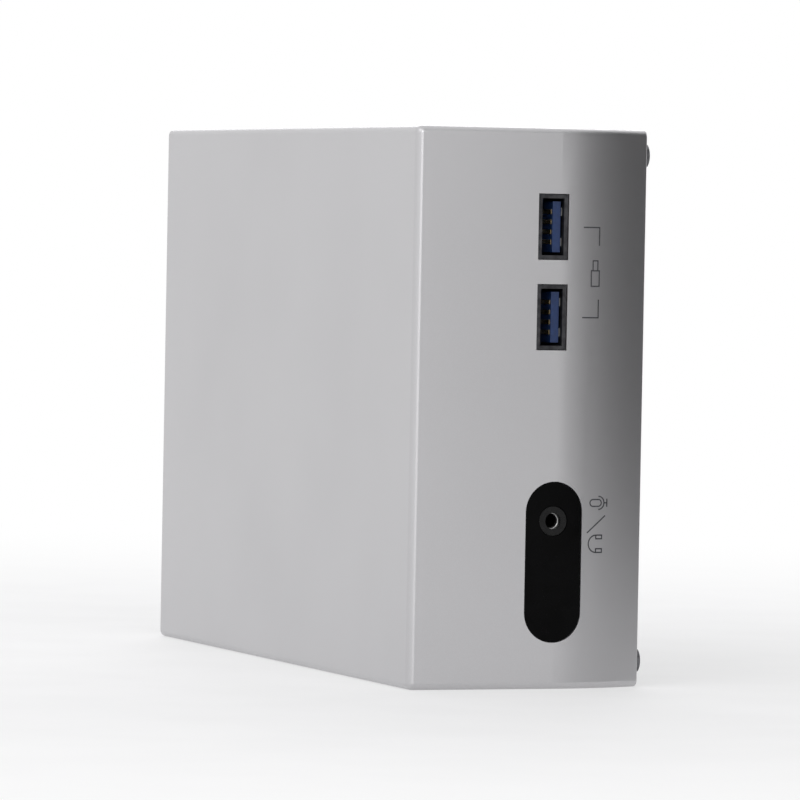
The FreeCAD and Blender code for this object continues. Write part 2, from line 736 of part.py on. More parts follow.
def make_window():
    face = FRONT + window_recess
    body = doc.addObject("PartDesign::Body", "window_body")
    pane = new_sketch(body, "window_outline", "XZ_Plane", -face)
    draw_slot(pane, (WINDOW_X, window_from_floor), window_wide - 2 * seat_gap, window_tall - 2 * seat_gap)
    add_feature(body, "Pad", "window_pane", pane, FLANGE_FRONT - face, reverse=True)
    flange = new_sketch(body, "window_flange_outline", "XZ_Plane", -FLANGE_FRONT)
    draw_slot(flange, (WINDOW_X, window_from_floor), window_wide + 2 * window_flange,
              window_tall + 2 * window_flange)
    add_feature(body, "Pad", "window_flange", flange, window_flange_thick, reverse=True)
    hole = new_sketch(body, "window_hole_outline", "XZ_Plane", -face)
    draw_circle(hole, (WINDOW_X, audio_from_floor), audio_collar + seat_gap)
    add_feature(body, "Pocket", "window_hole", hole, 3 * wall)
    keep(body, "io_window")


def make_audio_socket():
    back = WINDOW_BACK
    collar_face = FRONT + window_recess + seat_gap
    body_low = (BOARD_FACE, back, audio_from_floor - audio_body_wide / 2)
    body_high = WINDOW_X - BOARD_FACE + audio_body_wide / 2
    housing = block("audio_housing", body_low, (body_high, audio_body_deep, audio_body_wide))
    middle = (WINDOW_X, collar_face, audio_from_floor)
    collar = rod("audio_collar_blank", middle, audio_collar, back - collar_face, "Y")
    bore = rod("audio_bore_tool", middle, audio_bore, audio_deep, "Y")
    keep(cut("audio_drilled", fuse("audio_blank", housing, collar), bore), "audio_socket")


def make_receiver():
    z = window_from_floor - window_tall / 4
    corner = (BOARD_FACE, WINDOW_BACK + receiver_lens, z - receiver_side / 2)
    tall = WINDOW_X - BOARD_FACE + receiver_side / 2
    case = block("receiver_case", corner, (tall, receiver_side / 2, receiver_side))
    dome = rod("receiver_dome", (WINDOW_X, WINDOW_BACK, z), receiver_radius, receiver_lens, "Y")
    keep(fuse("receiver", case, dome), "infrared_receiver")


# ---------------------------------------------------------------- main board

STANDOFF_Y = (FRONT + standoff_end, as_size(0), REAR - standoff_rear)
STANDOFF_Z = (standoff_inset, case_tall - standoff_inset)
POWER_STAGES = 4


def make_main_board():
    body = doc.addObject("PartDesign::Body", "board_body")
    outline = new_sketch(body, "board_outline", "YZ_Plane", BOARD_BACK)
    low = (BOARD_FRONT, SIDE_LOW + board_gap)
    high = (BOARD_REAR, SIDE_HIGH - board_gap)
    draw_rectangle(outline, low, high)
    add_feature(body, "Pad", "board_plate", outline, board_thick)
    holes = new_sketch(body, "board_holes_outline", "YZ_Plane", BOARD_FACE)
    for y in STANDOFF_Y:
        for z in STANDOFF_Z:
            draw_circle(holes, (y, z), screw_radius + hole_gap)
    add_feature(body, "Pocket", "board_holes", holes, board_thick)
    keep(body, "main_board")

    standoffs = []
    screws = []
    floor = PLAIN + wall
    for row, y in enumerate(STANDOFF_Y):
        for column, z in enumerate(STANDOFF_Z):
            name = f"standoff_{row}{column}"
            post = rod(f"{name}_post", (floor, y, z), standoff_radius, BOARD_BACK - floor, "X")
            drill = (BOARD_BACK - screw_grip - hole_spare, y, z)
            bore = rod(f"{name}_bore", drill, screw_radius + thread_gap, screw_grip + hole_spare, "X")
            standoffs.append(cut(name, post, bore))
            grip = board_thick + screw_grip
            screws.append(screw(f"board_screw_{row}{column}", (BOARD_FACE, y, z), grip, "X"))
    keep(group("standoff_group", standoffs), "board_standoffs")
    keep(group("board_screw_group", screws), "board_screws")


def chip(name, y, z, thick, wide, long):
    return block(name, (BOARD_FACE, y, z), (thick, wide, long))


def make_chips():
    past_memory = FRONT + memory_from_front + memory_socket_deep + memory_wide + chip_gap
    behind_ports = FRONT + port_chips_from_front
    audio_z = audio_from_floor + audio_body_wide
    chips = [
        chip("hub_chip", past_memory, MIDDLE - hub_chip_side / 2, hub_chip_thick, hub_chip_side,
             hub_chip_side),
        chip("network_chip", past_memory, MIDDLE + hub_chip_side, small_chip_thick, small_chip_side,
             small_chip_side),
        chip("audio_chip", behind_ports, audio_z, small_chip_thick, firmware_wide, firmware_wide),
        chip("firmware_chip", behind_ports, MIDDLE + firmware_long / 2, firmware_thick, firmware_wide,
             firmware_long),
    ]
    keep(group("chip_group", chips), "controller_chips")

    coils = []
    cans = []
    coil_z = MIDDLE + chip_side / 2 + stage_pitch
    for number in range(POWER_STAGES):
        y = FRONT + chip_from_front + stage_pitch * (number - (POWER_STAGES - 1) / 2)
        coils.append(centred(f"coil_{number}", (BOARD_BACK - choke_tall, y, coil_z),
                             (choke_tall, choke_side, choke_side)))
        cans.append(rod(f"can_{number}", (BOARD_BACK - can_tall, y, coil_z + stage_pitch), can_radius,
                        can_tall, "X"))
    keep(group("coil_group", coils), "power_chokes")
    keep(group("can_group", cans), "capacitors")


def make_memory():
    y = FRONT + memory_from_front
    low = (BOARD_FACE, y, MIDDLE - memory_socket_long / 2)
    housing = block("memory_housing", low, (memory_socket_tall, memory_socket_deep, memory_socket_long))
    slots = []
    modules = []
    for level in range(2):
        x = BOARD_FACE + memory_lift + memory_step * level
        start = (x, y + memory_socket_deep - memory_grip, MIDDLE - memory_long / 2)
        slots.append(block(f"memory_slot_{level}", start, (memory_thick, memory_grip, memory_long)))
        modules.append(block(f"memory_card_{level}", start, (memory_thick, memory_wide, memory_long)))
    arms = []
    for side, z in enumerate((low[2], low[2] + memory_socket_long - memory_arm_thick)):
        arm = (BOARD_FACE, y + memory_socket_deep, z)
        arm_size = (memory_socket_tall, memory_wide - memory_arm_short, memory_arm_thick)
        arms.append(block(f"memory_arm_{side}", arm, arm_size))
    blank = fuse("memory_blank", housing, *arms)
    keep(cut("memory_socket_cut", blank, *slots), "memory_socket")
    keep(group("memory_group", modules), "memory_modules")


def card_and_socket(name, y, low_z, length):
    """A card that lies over the board, its socket at its low end and its screw at its high end."""
    x = BOARD_FACE + card_lift
    housing_low = (BOARD_FACE, y - card_wide / 2, low_z)
    housing = block(f"{name}_housing", housing_low, (card_socket_tall, card_wide, card_socket_deep))
    card_low = (x, y - card_wide / 2 + card_side_gap, low_z + card_socket_deep - card_grip)
    leaf_wide = card_wide - 2 * card_side_gap
    card = block(f"{name}_leaf", card_low, (card_thick, leaf_wide, length))
    slot = block(f"{name}_slot", card_low, (card_thick, leaf_wide, card_grip))
    socket = cut(f"{name}_socket", housing, slot)
    end = card_low[2] + length
    notch = rod(f"{name}_notch", (x, y, end), screw_radius + hole_gap, card_thick, "X")
    post = rod(f"{name}_post", (BOARD_FACE, y, end), standoff_radius, card_lift, "X")
    clamp = rod(f"{name}_clamp", (x, y, end), screw_radius, card_thick, "X")
    head = rod(f"{name}_head", (x + card_thick, y, end), standoff_radius, screw_head_tall, "X")
    return socket, cut(f"{name}_notched", card, notch), fuse(f"{name}_fixing", post, clamp, head)


def make_cards():
    storage_low = MIDDLE - storage_long / 2 - card_socket_deep / 2
    storage_y = FRONT + storage_from_front
    socket, card, storage_post = card_and_socket("storage", storage_y, storage_low, storage_long)
    keep(socket, "storage_socket")
    keep(card, "storage_card")
    radio_y = FRONT + radio_from_front + card_wide / 2
    radio_low = standoff_inset + card_socket_deep
    socket, card, radio_post = card_and_socket("radio", radio_y, radio_low, radio_long)
    keep(socket, "wireless_socket")
    keep(card, "wireless_card")
    keep(group("card_fixing_group", [storage_post, radio_post]), "card_screws")


def make_coin_cell():
    y = FRONT + radio_from_front + card_wide / 2
    z = USB_UPPER - cell_below_usb
    base = rod("cell_cup", (BOARD_FACE, y, z), cell_radius + cell_gap + cell_wall, cell_cup_tall, "X")
    room = rod("cell_room", (BOARD_FACE + cell_wall, y, z), cell_radius + cell_gap, cell_thick, "X")
    keep(cut("cell_cup_cut", base, room), "coin_cell_holder")
    keep(rod("cell_disc", (BOARD_FACE + cell_wall, y, z), cell_radius, cell_thick, "X"), "coin_cell")


# ---------------------------------------------------------------- cooling

CHIP_Y = FRONT + chip_from_front
PLATE_X = BOARD_BACK - chip_thick - plate_thick
PIPE_X = PLATE_X - pipe_thick
FIN_REAR = PANEL_IN - fit_gap
FIN_FRONT = FIN_REAR - fin_stack_deep
BLOWER_REAR = FIN_FRONT - blower_gap
BLOWER_FRONT = BLOWER_REAR - blower_side
BLOWER_Y = BLOWER_FRONT + blower_side / 2
BLOWER_X = PIPE_X - blower_tall
FIN_COUNT = 26
BLADE_COUNT = 17
BLADE_SWEEP = 22  # degrees that a blade leans round between the hub and the ring


def make_processor():
    keep(centred("chip_package", (BOARD_BACK - chip_thick, CHIP_Y, MIDDLE),
                 (chip_thick, chip_side, chip_side)), "processor")
    keep(centred("cold_plate_block", (PLATE_X, CHIP_Y, MIDDLE), (plate_thick, plate_side, plate_side)),
         "cold_plate")
    pipes = []
    start = CHIP_Y - plate_side / 2
    for number, side in enumerate((-1, 1)):
        z = MIDDLE + side * pipe_pitch / 2
        low = (PIPE_X, start, z - pipe_wide / 2 + pipe_thick / 2)
        flat = block(f"pipe_flat_{number}", low, (pipe_thick, FIN_REAR - start, pipe_wide - pipe_thick))
        edges = []
        for end, edge_z in enumerate((low[2], low[2] + pipe_wide - pipe_thick)):
            middle = (PIPE_X + pipe_thick / 2, start, edge_z)
            edges.append(rod(f"pipe_edge_{number}{end}", middle, pipe_thick / 2, FIN_REAR - start, "Y"))
        pipes.append(fuse(f"pipe_{number}", flat, *edges))
    keep(group("pipe_group", pipes), "heat_pipes")


def make_fin_stack():
    low_z = MIDDLE - fin_stack_wide / 2
    low_x = PIPE_X - fin_stack_tall
    foot_size = (fin_base, fin_stack_deep, fin_stack_wide)
    parts = [block("fin_foot", (PIPE_X - fin_base, FIN_FRONT, low_z), foot_size)]
    fin_size = (fin_stack_tall, fin_stack_deep, fin_thick)
    first = MIDDLE - fin_pitch * (FIN_COUNT - 1) / 2
    for number in range(FIN_COUNT):
        z = first + fin_pitch * number - fin_thick / 2
        parts.append(block(f"fin_{number}", (low_x, FIN_FRONT, z), fin_size))
    keep(fuse("fin_fused", *parts), "fin_stack")


def make_blower():
    low_z = MIDDLE - blower_side / 2
    outer = block("blower_outer", (BLOWER_X, BLOWER_FRONT, low_z), (blower_tall, blower_side, blower_side))
    floor_x = PIPE_X - blower_wall
    cavity_tall = blower_tall - blower_wall
    room_radius = blower_side / 2 - blower_wall
    room = rod("blower_room", (BLOWER_X, BLOWER_Y, MIDDLE), room_radius, cavity_tall, "X")
    duct_low = (BLOWER_X, BLOWER_Y, MIDDLE - room_radius)
    duct = block("blower_duct", duct_low, (cavity_tall, blower_side, 2 * room_radius))
    shaft = rod("blower_shaft", (BLOWER_X + blower_wall, BLOWER_Y, MIDDLE), shaft_radius,
                cavity_tall - blower_wall, "X")
    hollow = cut("blower_hollow", outer, room, duct)
    keep(fuse("blower_with_shaft", hollow, shaft), "blower_housing")

    lid_x = BLOWER_X - blower_wall
    plate = block("blower_plate", (lid_x, BLOWER_FRONT, low_z), (blower_wall, blower_side, blower_side))
    intake = rod("blower_intake", (lid_x, BLOWER_Y, MIDDLE), intake_radius, blower_wall, "X")
    keep(cut("blower_plate_cut", plate, intake), "blower_cover")

    rotor_x = BLOWER_X + rotor_gap
    rotor_tall = floor_x - rotor_gap - rotor_x
    hub = rod("rotor_hub_blank", (rotor_x, BLOWER_Y, MIDDLE), rotor_hub, rotor_tall, "X")
    hole_radius = rotor_radius - blade_wall
    ring = rod("rotor_ring_blank", (rotor_x, BLOWER_Y, MIDDLE), rotor_radius, rotor_ring_tall, "X")
    ring_hole = rod("rotor_ring_hole", (rotor_x, BLOWER_Y, MIDDLE), hole_radius, rotor_ring_tall, "X")
    blank = fuse("rotor_blank", hub, cut("rotor_ring", ring, ring_hole), rotor_blades(rotor_x, rotor_tall))
    bore = rod("rotor_bore", (rotor_x, BLOWER_Y, MIDDLE), shaft_radius + shaft_gap, rotor_tall, "X")
    keep(cut("rotor_bored", blank, bore), "blower_rotor")


def rotor_blades(rotor_x, rotor_tall):
    """Swept blades between the hub and the ring, each a plate turned about the rotor's axis."""
    half = float(blade_wall) / 2
    inner = float(rotor_hub) - half
    outer = float(rotor_radius) - half / 2
    sweep = math.radians(BLADE_SWEEP)
    blades = []
    for number in range(BLADE_COUNT):
        angle = 2 * math.pi * number / BLADE_COUNT
        start = FreeCAD.Vector(0, inner * math.cos(angle), inner * math.sin(angle))
        end = FreeCAD.Vector(0, outer * math.cos(angle + sweep), outer * math.sin(angle + sweep))
        along = end - start
        across = FreeCAD.Vector(0, -along.z, along.y).normalize() * half
        corners = [start + across, end + across, end - across, start - across]
        face = Part.Face(Part.makePolygon(corners + corners[:1]))
        blades.append(face.extrude(FreeCAD.Vector(float(rotor_tall), 0, 0)))
    ring = Part.makeCylinder(outer, float(rotor_tall), FreeCAD.Vector(), FreeCAD.Vector(1, 0, 0))
    item = doc.addObject("Part::Feature", "rotor_blades")
    item.Shape = blades[0].multiFuse(blades[1:]).common(ring)
    item.Placement.Base = FreeCAD.Vector(float(rotor_x), float(BLOWER_Y), float(MIDDLE))
    return item


# ---------------------------------------------------------------- drive

DRIVE_Y = FRONT + drive_from_front
TRAY_X = BOARD_FACE + tray_lift
DRIVE_X = TRAY_X + tray_thick
POST_Y = (DRIVE_Y - tray_tab / 2, DRIVE_Y + drive_long + tray_tab / 2)
PLUG_Z = MIDDLE - drive_wide / 2 + plug_wide / 2 + plug_inset
RIBBON_Y = DRIVE_Y + drive_long + plug_deep / 2
RIBBON_Z = PLUG_Z - ribbon_wide / 2


def make_drive():
    low_z = MIDDLE - drive_wide / 2
    drive = block("drive_block", (DRIVE_X, DRIVE_Y, low_z), (drive_tall, drive_long, drive_wide))
    keep(drive, "storage_drive")

    body = doc.addObject("PartDesign::Body", "tray_body")
    outline = new_sketch(body, "tray_outline", "YZ_Plane", TRAY_X)
    wall_out = tray_thick + seat_gap
    draw_rectangle(outline, (DRIVE_Y - tray_tab, low_z - wall_out),
                   (DRIVE_Y + drive_long + tray_tab, low_z + drive_wide + wall_out))
    add_feature(body, "Pad", "tray_plate", outline, tray_thick)
    walls = new_sketch(body, "tray_wall_outline", "YZ_Plane", TRAY_X)
    for z in (low_z - wall_out, low_z + drive_wide + seat_gap):
        ends = (DRIVE_Y + tray_wall_inset, DRIVE_Y + drive_long - tray_wall_inset)
        draw_rectangle(walls, (ends[0], z), (ends[1], z + tray_thick))
    add_feature(body, "Pad", "tray_walls", walls, tray_thick + tray_wall_tall)
    lightening = new_sketch(body, "tray_hole_outline", "YZ_Plane", DRIVE_X)
    draw_slot(lightening, (DRIVE_Y + drive_long / 2, MIDDLE), tray_hole_wide, tray_hole_tall)
    for row, y in enumerate(POST_Y):
        for z in post_places(row):
            draw_circle(lightening, (y, z), screw_radius + hole_gap)
    slit = (RIBBON_Y - seat_gap, RIBBON_Z - seat_gap)
    draw_rectangle(lightening, slit, (RIBBON_Y + ribbon_thick + seat_gap, RIBBON_Z + ribbon_wide + seat_gap))
    add_feature(body, "Pocket", "tray_holes", lightening, tray_thick)
    keep(body, "drive_tray")

    posts = []
    screws = []
    for row, y in enumerate(POST_Y):
        for column, z in enumerate(post_places(row)):
            name = f"tray_post_{row}{column}"
            post = rod(f"{name}_blank", (BOARD_FACE, y, z), standoff_radius, tray_lift, "X")
            drill = (TRAY_X - screw_grip - hole_spare, y, z)
            bore = rod(f"{name}_bore", drill, screw_radius + thread_gap, screw_grip + hole_spare, "X")
            posts.append(cut(name, post, bore))
            screws.append(screw(f"tray_screw_{row}{column}", (DRIVE_X, y, z), tray_thick + screw_grip, "X"))
    keep(group("tray_post_group", posts), "tray_posts")
    keep(group("tray_screw_group", screws), "tray_screws")


def post_places(row):
    """Heights of the two posts at one end of the tray: the rear pair stands clear of the plug."""
    if row == 0:
        return MIDDLE - post_spread / 2, MIDDLE + post_spread / 2
    return PLUG_Z + plug_wide / 2 + post_inset, MIDDLE + drive_wide / 2 - post_inset


def make_drive_lead():
    """The drive's plug, its header on the board and the flat ribbon that runs straight between them."""
    plug_x = DRIVE_X + plug_lift
    plug_low = (plug_x, DRIVE_Y + drive_long, PLUG_Z - plug_wide / 2)
    keep(block("plug_block", plug_low, (plug_tall, plug_deep, plug_wide)), "drive_plug")
    header_low = (BOARD_FACE, RIBBON_Y - plug_deep / 2, RIBBON_Z - header_rim)
    header_size = (header_tall, plug_deep, ribbon_wide + 2 * header_rim)
    keep(block("header_block", header_low, header_size), "drive_header")
    ribbon_low = (BOARD_FACE + header_tall, RIBBON_Y, RIBBON_Z)
    ribbon = block("ribbon_block", ribbon_low, (plug_x - ribbon_low[0], ribbon_thick, ribbon_wide))
    keep(ribbon, "drive_ribbon")


# ---------------------------------------------------------------- rear panel

RING_ACROSS = 2 * (button_radius + ring_wide)
REAR_WIDTHS = (inlet_wide, display_wide, video_wide, network_wide, usb_lip_wide, RING_ACROSS)
REAR_SPACE = OPENING_HIGH - OPENING_LOW
USED = sum(REAR_WIDTHS[1:], REAR_WIDTHS[0])
REAR_GAP = (REAR_SPACE - USED) / (len(REAR_WIDTHS) + 1)


def rear_place(number):
    """Height of one rear socket's middle: they stand in a row with equal gaps."""
    before = as_size(0)
    for width in REAR_WIDTHS[:number]:
        before = before + width
    return OPENING_LOW + before + REAR_GAP * (number + 1) + REAR_WIDTHS[number] / 2


INLET_Z, DISPLAY_Z, VIDEO_Z, NETWORK_Z, USB_REAR_Z, BUTTON_Z = [rear_place(i) for i in range(6)]
INLET_X = BOARD_FACE + inlet_high / 2
USB_REAR_X = (BOARD_FACE + usb_high / 2, BOARD_FACE + usb_high / 2 + usb_stack_pitch)
BUTTON_X = BOARD_FACE + button_lift
EXHAUST_SLOTS = 16


def window_box(name, x, z, high, wide):
    """A cutter for one opening of the rear panel, with the seating gap all round."""
    corner = (x - seat_gap, PANEL_IN, z - wide / 2 - seat_gap)
    return block(name, corner, (high + 2 * seat_gap, panel_thick, wide + 2 * seat_gap))


def make_rear_panel():
    low = (PLAIN + panel_side_frame - panel_lap, PANEL_IN, OPENING_LOW - panel_lap)
    size = (case_thick - 2 * panel_side_frame + 2 * panel_lap, panel_thick, REAR_SPACE + 2 * panel_lap)
    plate = block("panel_plate", low, size)
    stack_high = usb_lip_high + usb_stack_pitch
    ring_room = button_radius + ring_wide + thread_gap
    openings = [
        rod("inlet_opening", (INLET_X, PANEL_IN, INLET_Z), inlet_collar + seat_gap, panel_thick, "Y"),
        window_box("display_opening", BOARD_FACE, DISPLAY_Z, display_high, display_wide),
        window_box("video_opening", BOARD_FACE, VIDEO_Z, video_high, video_wide),
        window_box("network_opening", BOARD_FACE, NETWORK_Z, network_high, network_wide),
        window_box("usb_rear_opening", BOARD_FACE - usb_lip, USB_REAR_Z, stack_high, usb_lip_wide),
        rod("button_opening", (BUTTON_X, PANEL_IN, BUTTON_Z), ring_room, panel_thick, "Y"),
    ]
    for number, z in enumerate(PANEL_SCREW_Z):
        start = (PANEL_SCREW_X, PANEL_IN, z)
        openings.append(rod(f"panel_hole_{number}", start, screw_radius + hole_gap, panel_thick, "Y"))
    pitch = fin_stack_wide / EXHAUST_SLOTS
    for number in range(EXHAUST_SLOTS):
        z = MIDDLE + pitch * (number - (EXHAUST_SLOTS - 1) / 2) - vent_wide / 2
        corner = (PIPE_X - fin_stack_tall + fit_gap, PANEL_IN, z)
        openings.append(block(f"exhaust_{number}", corner, (vent_long, panel_thick, vent_wide)))
    keep(cut("panel_cut", plate, *openings), "rear_panel")
    screws = []
    for number, z in enumerate(PANEL_SCREW_Z):
        grip = panel_thick + screw_grip
        screws.append(screw(f"panel_screw_{number}", (PANEL_SCREW_X, PANEL_OUT, z), grip, "Y"))
    keep(group("panel_screw_group", screws), "rear_panel_screws")


def make_inlet():
    low = (BOARD_FACE, PANEL_IN - inlet_deep, INLET_Z - inlet_wide / 2)
    housing = block("inlet_housing", low, (inlet_high, inlet_deep, inlet_wide))
    collar = rod("inlet_collar", (INLET_X, PANEL_IN, INLET_Z), inlet_collar, panel_thick, "Y")
    start = (INLET_X, PANEL_IN - inlet_deep + inlet_back, INLET_Z)
    bore = rod("inlet_bore_tool", start, inlet_bore, inlet_deep + panel_thick, "Y")
    keep(cut("inlet_bored", fuse("inlet_blank", housing, collar), bore), "power_inlet")
    pin_long = inlet_deep - inlet_back - inlet_pin_short
    keep(rod("inlet_pin_rod", start, inlet_pin, pin_long, "Y"), "power_inlet_pin")


def flat_socket(name, node, z, high, wide):
    """A low metal socket with a blade in its middle, as on a video output."""
    low = (BOARD_FACE, PANEL_OUT - video_deep, z - wide / 2)
    outer = block(f"{name}_outer", low, (high, video_deep, wide))
    inner_low = (low[0] + socket_metal, low[1] + flat_socket_back, low[2] + socket_metal)
    inner = block(f"{name}_inner", inner_low,
                  (high - 2 * socket_metal, video_deep - flat_socket_back, wide - 2 * socket_metal))
    keep(cut(f"{name}_shell", outer, inner), f"{node}_shell")
    blade_low = (BOARD_FACE + high / 2 - blade_thick / 2, inner_low[1], low[2] + blade_side_gap)
    blade_size = (blade_thick, video_deep - 2 * flat_socket_back, wide - 2 * blade_side_gap)
    keep(block(f"{name}_blade", blade_low, blade_size), f"{node}_blade")


def make_network_socket():
    low = (BOARD_FACE, PANEL_OUT - network_deep, NETWORK_Z - network_wide / 2)
    outer = block("network_outer", low, (network_high, network_deep, network_wide))
    open_low = (BOARD_FACE + network_floor, PANEL_OUT - network_open_deep, NETWORK_Z - network_open_wide / 2)
    room = block("network_room", open_low, (network_open_high, network_open_deep, network_open_wide))
    latch_low = (open_low[0] + network_open_high, PANEL_OUT - network_open_deep, NETWORK_Z - latch_wide / 2)
    latch = block("network_latch_room", latch_low, (latch_high, network_open_deep, latch_wide))
    keep(cut("network_cut", outer, room, latch), "network_socket")


def make_rear_usb():
    shells = []
    tongues = []
    contacts = []
    for number, x in enumerate(USB_REAR_X):
        shell, tongue, strips = usb_port(f"usb_rear_{number}", PANEL_OUT, 1, x, USB_REAR_Z)
        shells.append(shell)
        tongues.append(tongue)
        contacts += strips
    spacer_low = (USB_REAR_X[0] + usb_high / 2, PANEL_OUT - usb_deep, USB_REAR_Z - usb_wide / 2)
    spacer = block("usb_spacer", spacer_low, (usb_stack_pitch - usb_high, usb_deep - usb_lip_thick, usb_wide))
    keep(fuse("usb_rear_stack", *shells, spacer), "usb_shell_rear")
    keep(group("usb_rear_tongues", tongues), "usb_tongues_rear")
    return contacts


def make_power_button():
    middle = (BUTTON_X, BUTTON_Z)
    ring_low = (BUTTON_X, PANEL_IN - ring_back, BUTTON_Z)
    ring_long = ring_back + panel_thick + ring_proud
    ring = rod("ring_blank", ring_low, button_radius + ring_wide, ring_long, "Y")
    ring_hole = rod("ring_hole", ring_low, button_radius + button_gap, ring_long, "Y")
    keep(cut("ring_cut", ring, ring_hole), "power_light_ring")

    face = PANEL_OUT + button_proud
    body = doc.addObject("PartDesign::Body", "button_body")
    cap_outline = new_sketch(body, "button_outline", "XZ_Plane", -face)
    draw_circle(cap_outline, middle, button_radius)
    cap = add_feature(body, "Pad", "button_cap", cap_outline, button_proud + panel_thick + button_stem)
    rim = float(face) - TOUCH
    add_round(body, "button_rim", cap, foot_round / 2, lambda edge: edge.BoundBox.YMin > rim)
    keep(body, "power_button")

    back = PANEL_IN - button_stem
    plunger = rod("plunger_rod", (BUTTON_X, back - plunger_long, BUTTON_Z), plunger_radius, plunger_long, "Y")
    keep(plunger, "switch_plunger")
    switch_y = back - button_travel - switch_gap - switch_deep
    tall = button_lift + switch_side / 2
    case = block("switch_case", (BOARD_FACE, switch_y, BUTTON_Z - switch_side / 2),
                 (tall, switch_deep, switch_side))
    reach = plunger_long + button_travel + plunger_spare
    room = rod("switch_room", (BUTTON_X, back - reach, BUTTON_Z), plunger_radius + button_gap, reach, "Y")
    keep(cut("switch_cut", case, room), "power_switch")


# ---------------------------------------------------------------- the whole

def faults():
    """Everything that failed to build, each size that came out wrong, and each unsound shape."""
    found = []
    for item, size in bound:
        if abs(float(item.evalExpression(size.text)) - size.value) > TOUCH:
            found.append(f"{item.Label}: {size.text} isn't {size.value:g}")
    for item in doc.Objects:
        if {"Invalid", "Error"} & set(item.State):
            found.append(f"{item.Name} ({item.Label}): {item.State}")
    for item in pieces:
        shape = item.Shape
        if shape.isNull() or not shape.isValid() or not shape.Solids:
            found.append(f"{item.Label}: unsound shape")
    return found


def build():
    make_case_shell()
    make_base_cover()
    make_rubber_feet()
    contacts = make_front_usb()
    make_window()
    make_audio_socket()
    make_receiver()
    make_main_board()
    make_chips()
    make_memory()
    make_cards()
    make_coin_cell()
    make_processor()
    make_fin_stack()
    make_blower()
    make_drive()
    make_drive_lead()
    make_rear_panel()
    make_inlet()
    flat_socket("display", "display_port", DISPLAY_Z, display_high, display_wide)
    flat_socket("video", "video_port", VIDEO_Z, video_high, video_wide)
    make_network_socket()
    contacts += make_rear_usb()
    keep(group("contact_group", contacts), "usb_contacts")
    make_power_button()
    doc.recompute()
    problems = faults()
    if problems:
        raise RuntimeError("\n".join(problems))
    os.makedirs("parts", exist_ok=True)
    for item in pieces:
        item.Shape.exportStep(f"parts/{item.Label}.step")
        print(f"{item.Label}: {len(item.Shape.Solids)} solids, {item.Shape.Volume:.1f} mm3")


build()
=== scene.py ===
import json
import math
import random

import bmesh
import bpy
from mathutils import Matrix, Vector


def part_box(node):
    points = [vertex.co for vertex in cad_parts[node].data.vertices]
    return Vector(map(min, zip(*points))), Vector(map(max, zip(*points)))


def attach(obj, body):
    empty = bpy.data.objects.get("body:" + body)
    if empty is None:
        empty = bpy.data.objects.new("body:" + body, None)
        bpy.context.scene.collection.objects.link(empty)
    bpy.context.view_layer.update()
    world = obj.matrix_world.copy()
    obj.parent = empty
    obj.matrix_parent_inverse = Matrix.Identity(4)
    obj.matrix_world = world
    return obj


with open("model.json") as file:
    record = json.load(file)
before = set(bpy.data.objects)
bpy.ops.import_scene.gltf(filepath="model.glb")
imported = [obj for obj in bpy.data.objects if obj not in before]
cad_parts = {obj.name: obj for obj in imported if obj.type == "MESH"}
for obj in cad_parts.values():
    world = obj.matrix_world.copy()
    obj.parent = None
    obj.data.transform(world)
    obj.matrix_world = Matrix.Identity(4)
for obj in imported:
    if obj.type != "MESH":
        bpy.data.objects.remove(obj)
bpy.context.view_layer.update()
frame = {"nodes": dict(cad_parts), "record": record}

NODES = frame["nodes"]
MM = 0.001
SCENE = bpy.context.scene


# ---------------------------------------------------------------- camera, light and floor

CAMERA_PLACE = Vector((-0.511, -1.391, 0.104))
CAMERA_TARGET = Vector((0.0, 0.0, 0.0605))
CAMERA_LENS = 288
CAMERA_ROLL = math.radians(1.05)
SENSOR_WIDTH = 36
VIEW_REACH = 50
FLOOR_REACH = 7.0
FLOOR_DARK = (0.86, 0.86, 0.86, 1.0)
FLOOR_LIGHT = (0.9, 0.9, 0.9, 1.0)
SHADOW_NEAR = 0.14
SHADOW_FAR = 0.6
NEAR_WHITE = 0.5
WHITE = (1.0, 1.0, 1.0, 1.0)
SKY_PALE = (0.8, 0.8, 0.82, 1.0)
SKY_DIM = (0.16, 0.16, 0.165, 1.0)
SKY_DIMS_FROM = 0.2
LAMPS = (  # name, place, width and height, watts
    ("key", (-1.5, -1.2, 1.3), (1.1, 1.1), 5),
    ("front", (-0.1, -2.0, 0.6), (0.8, 0.8), 5.5),
    ("back", (0.5, 1.8, 1.4), (1.4, 1.0), 9),
)
FLAG_X = 0.24
FLAG_NEAR = -0.66
FLAG_FAR = -0.06
FLAG_TOP = 0.5


def make_camera():
    data = bpy.data.cameras.new("camera")
    data.lens = CAMERA_LENS
    data.sensor_width = SENSOR_WIDTH
    data.clip_end = VIEW_REACH
    camera = bpy.data.objects.new("camera", data)
    turn = (CAMERA_TARGET - CAMERA_PLACE).to_track_quat("-Z", "Y").to_matrix().to_4x4()
    roll = Matrix.Rotation(CAMERA_ROLL, 4, "Z")
    camera.matrix_world = Matrix.Translation(CAMERA_PLACE) @ turn @ roll
    SCENE.collection.objects.link(camera)
    SCENE.camera = camera


def make_lamp(name, place, size, power):
    data = bpy.data.lights.new(name, "AREA")
    data.shape = "RECTANGLE"
    data.size, data.size_y = size
    data.energy = power
    lamp = bpy.data.objects.new(name, data)
    place = Vector(place)
    turn = (CAMERA_TARGET - place).to_track_quat("-Z", "Y").to_matrix().to_4x4()
    lamp.matrix_world = Matrix.Translation(place) @ turn
    SCENE.collection.objects.link(lamp)


# ---------------------------------------------------------------- shading

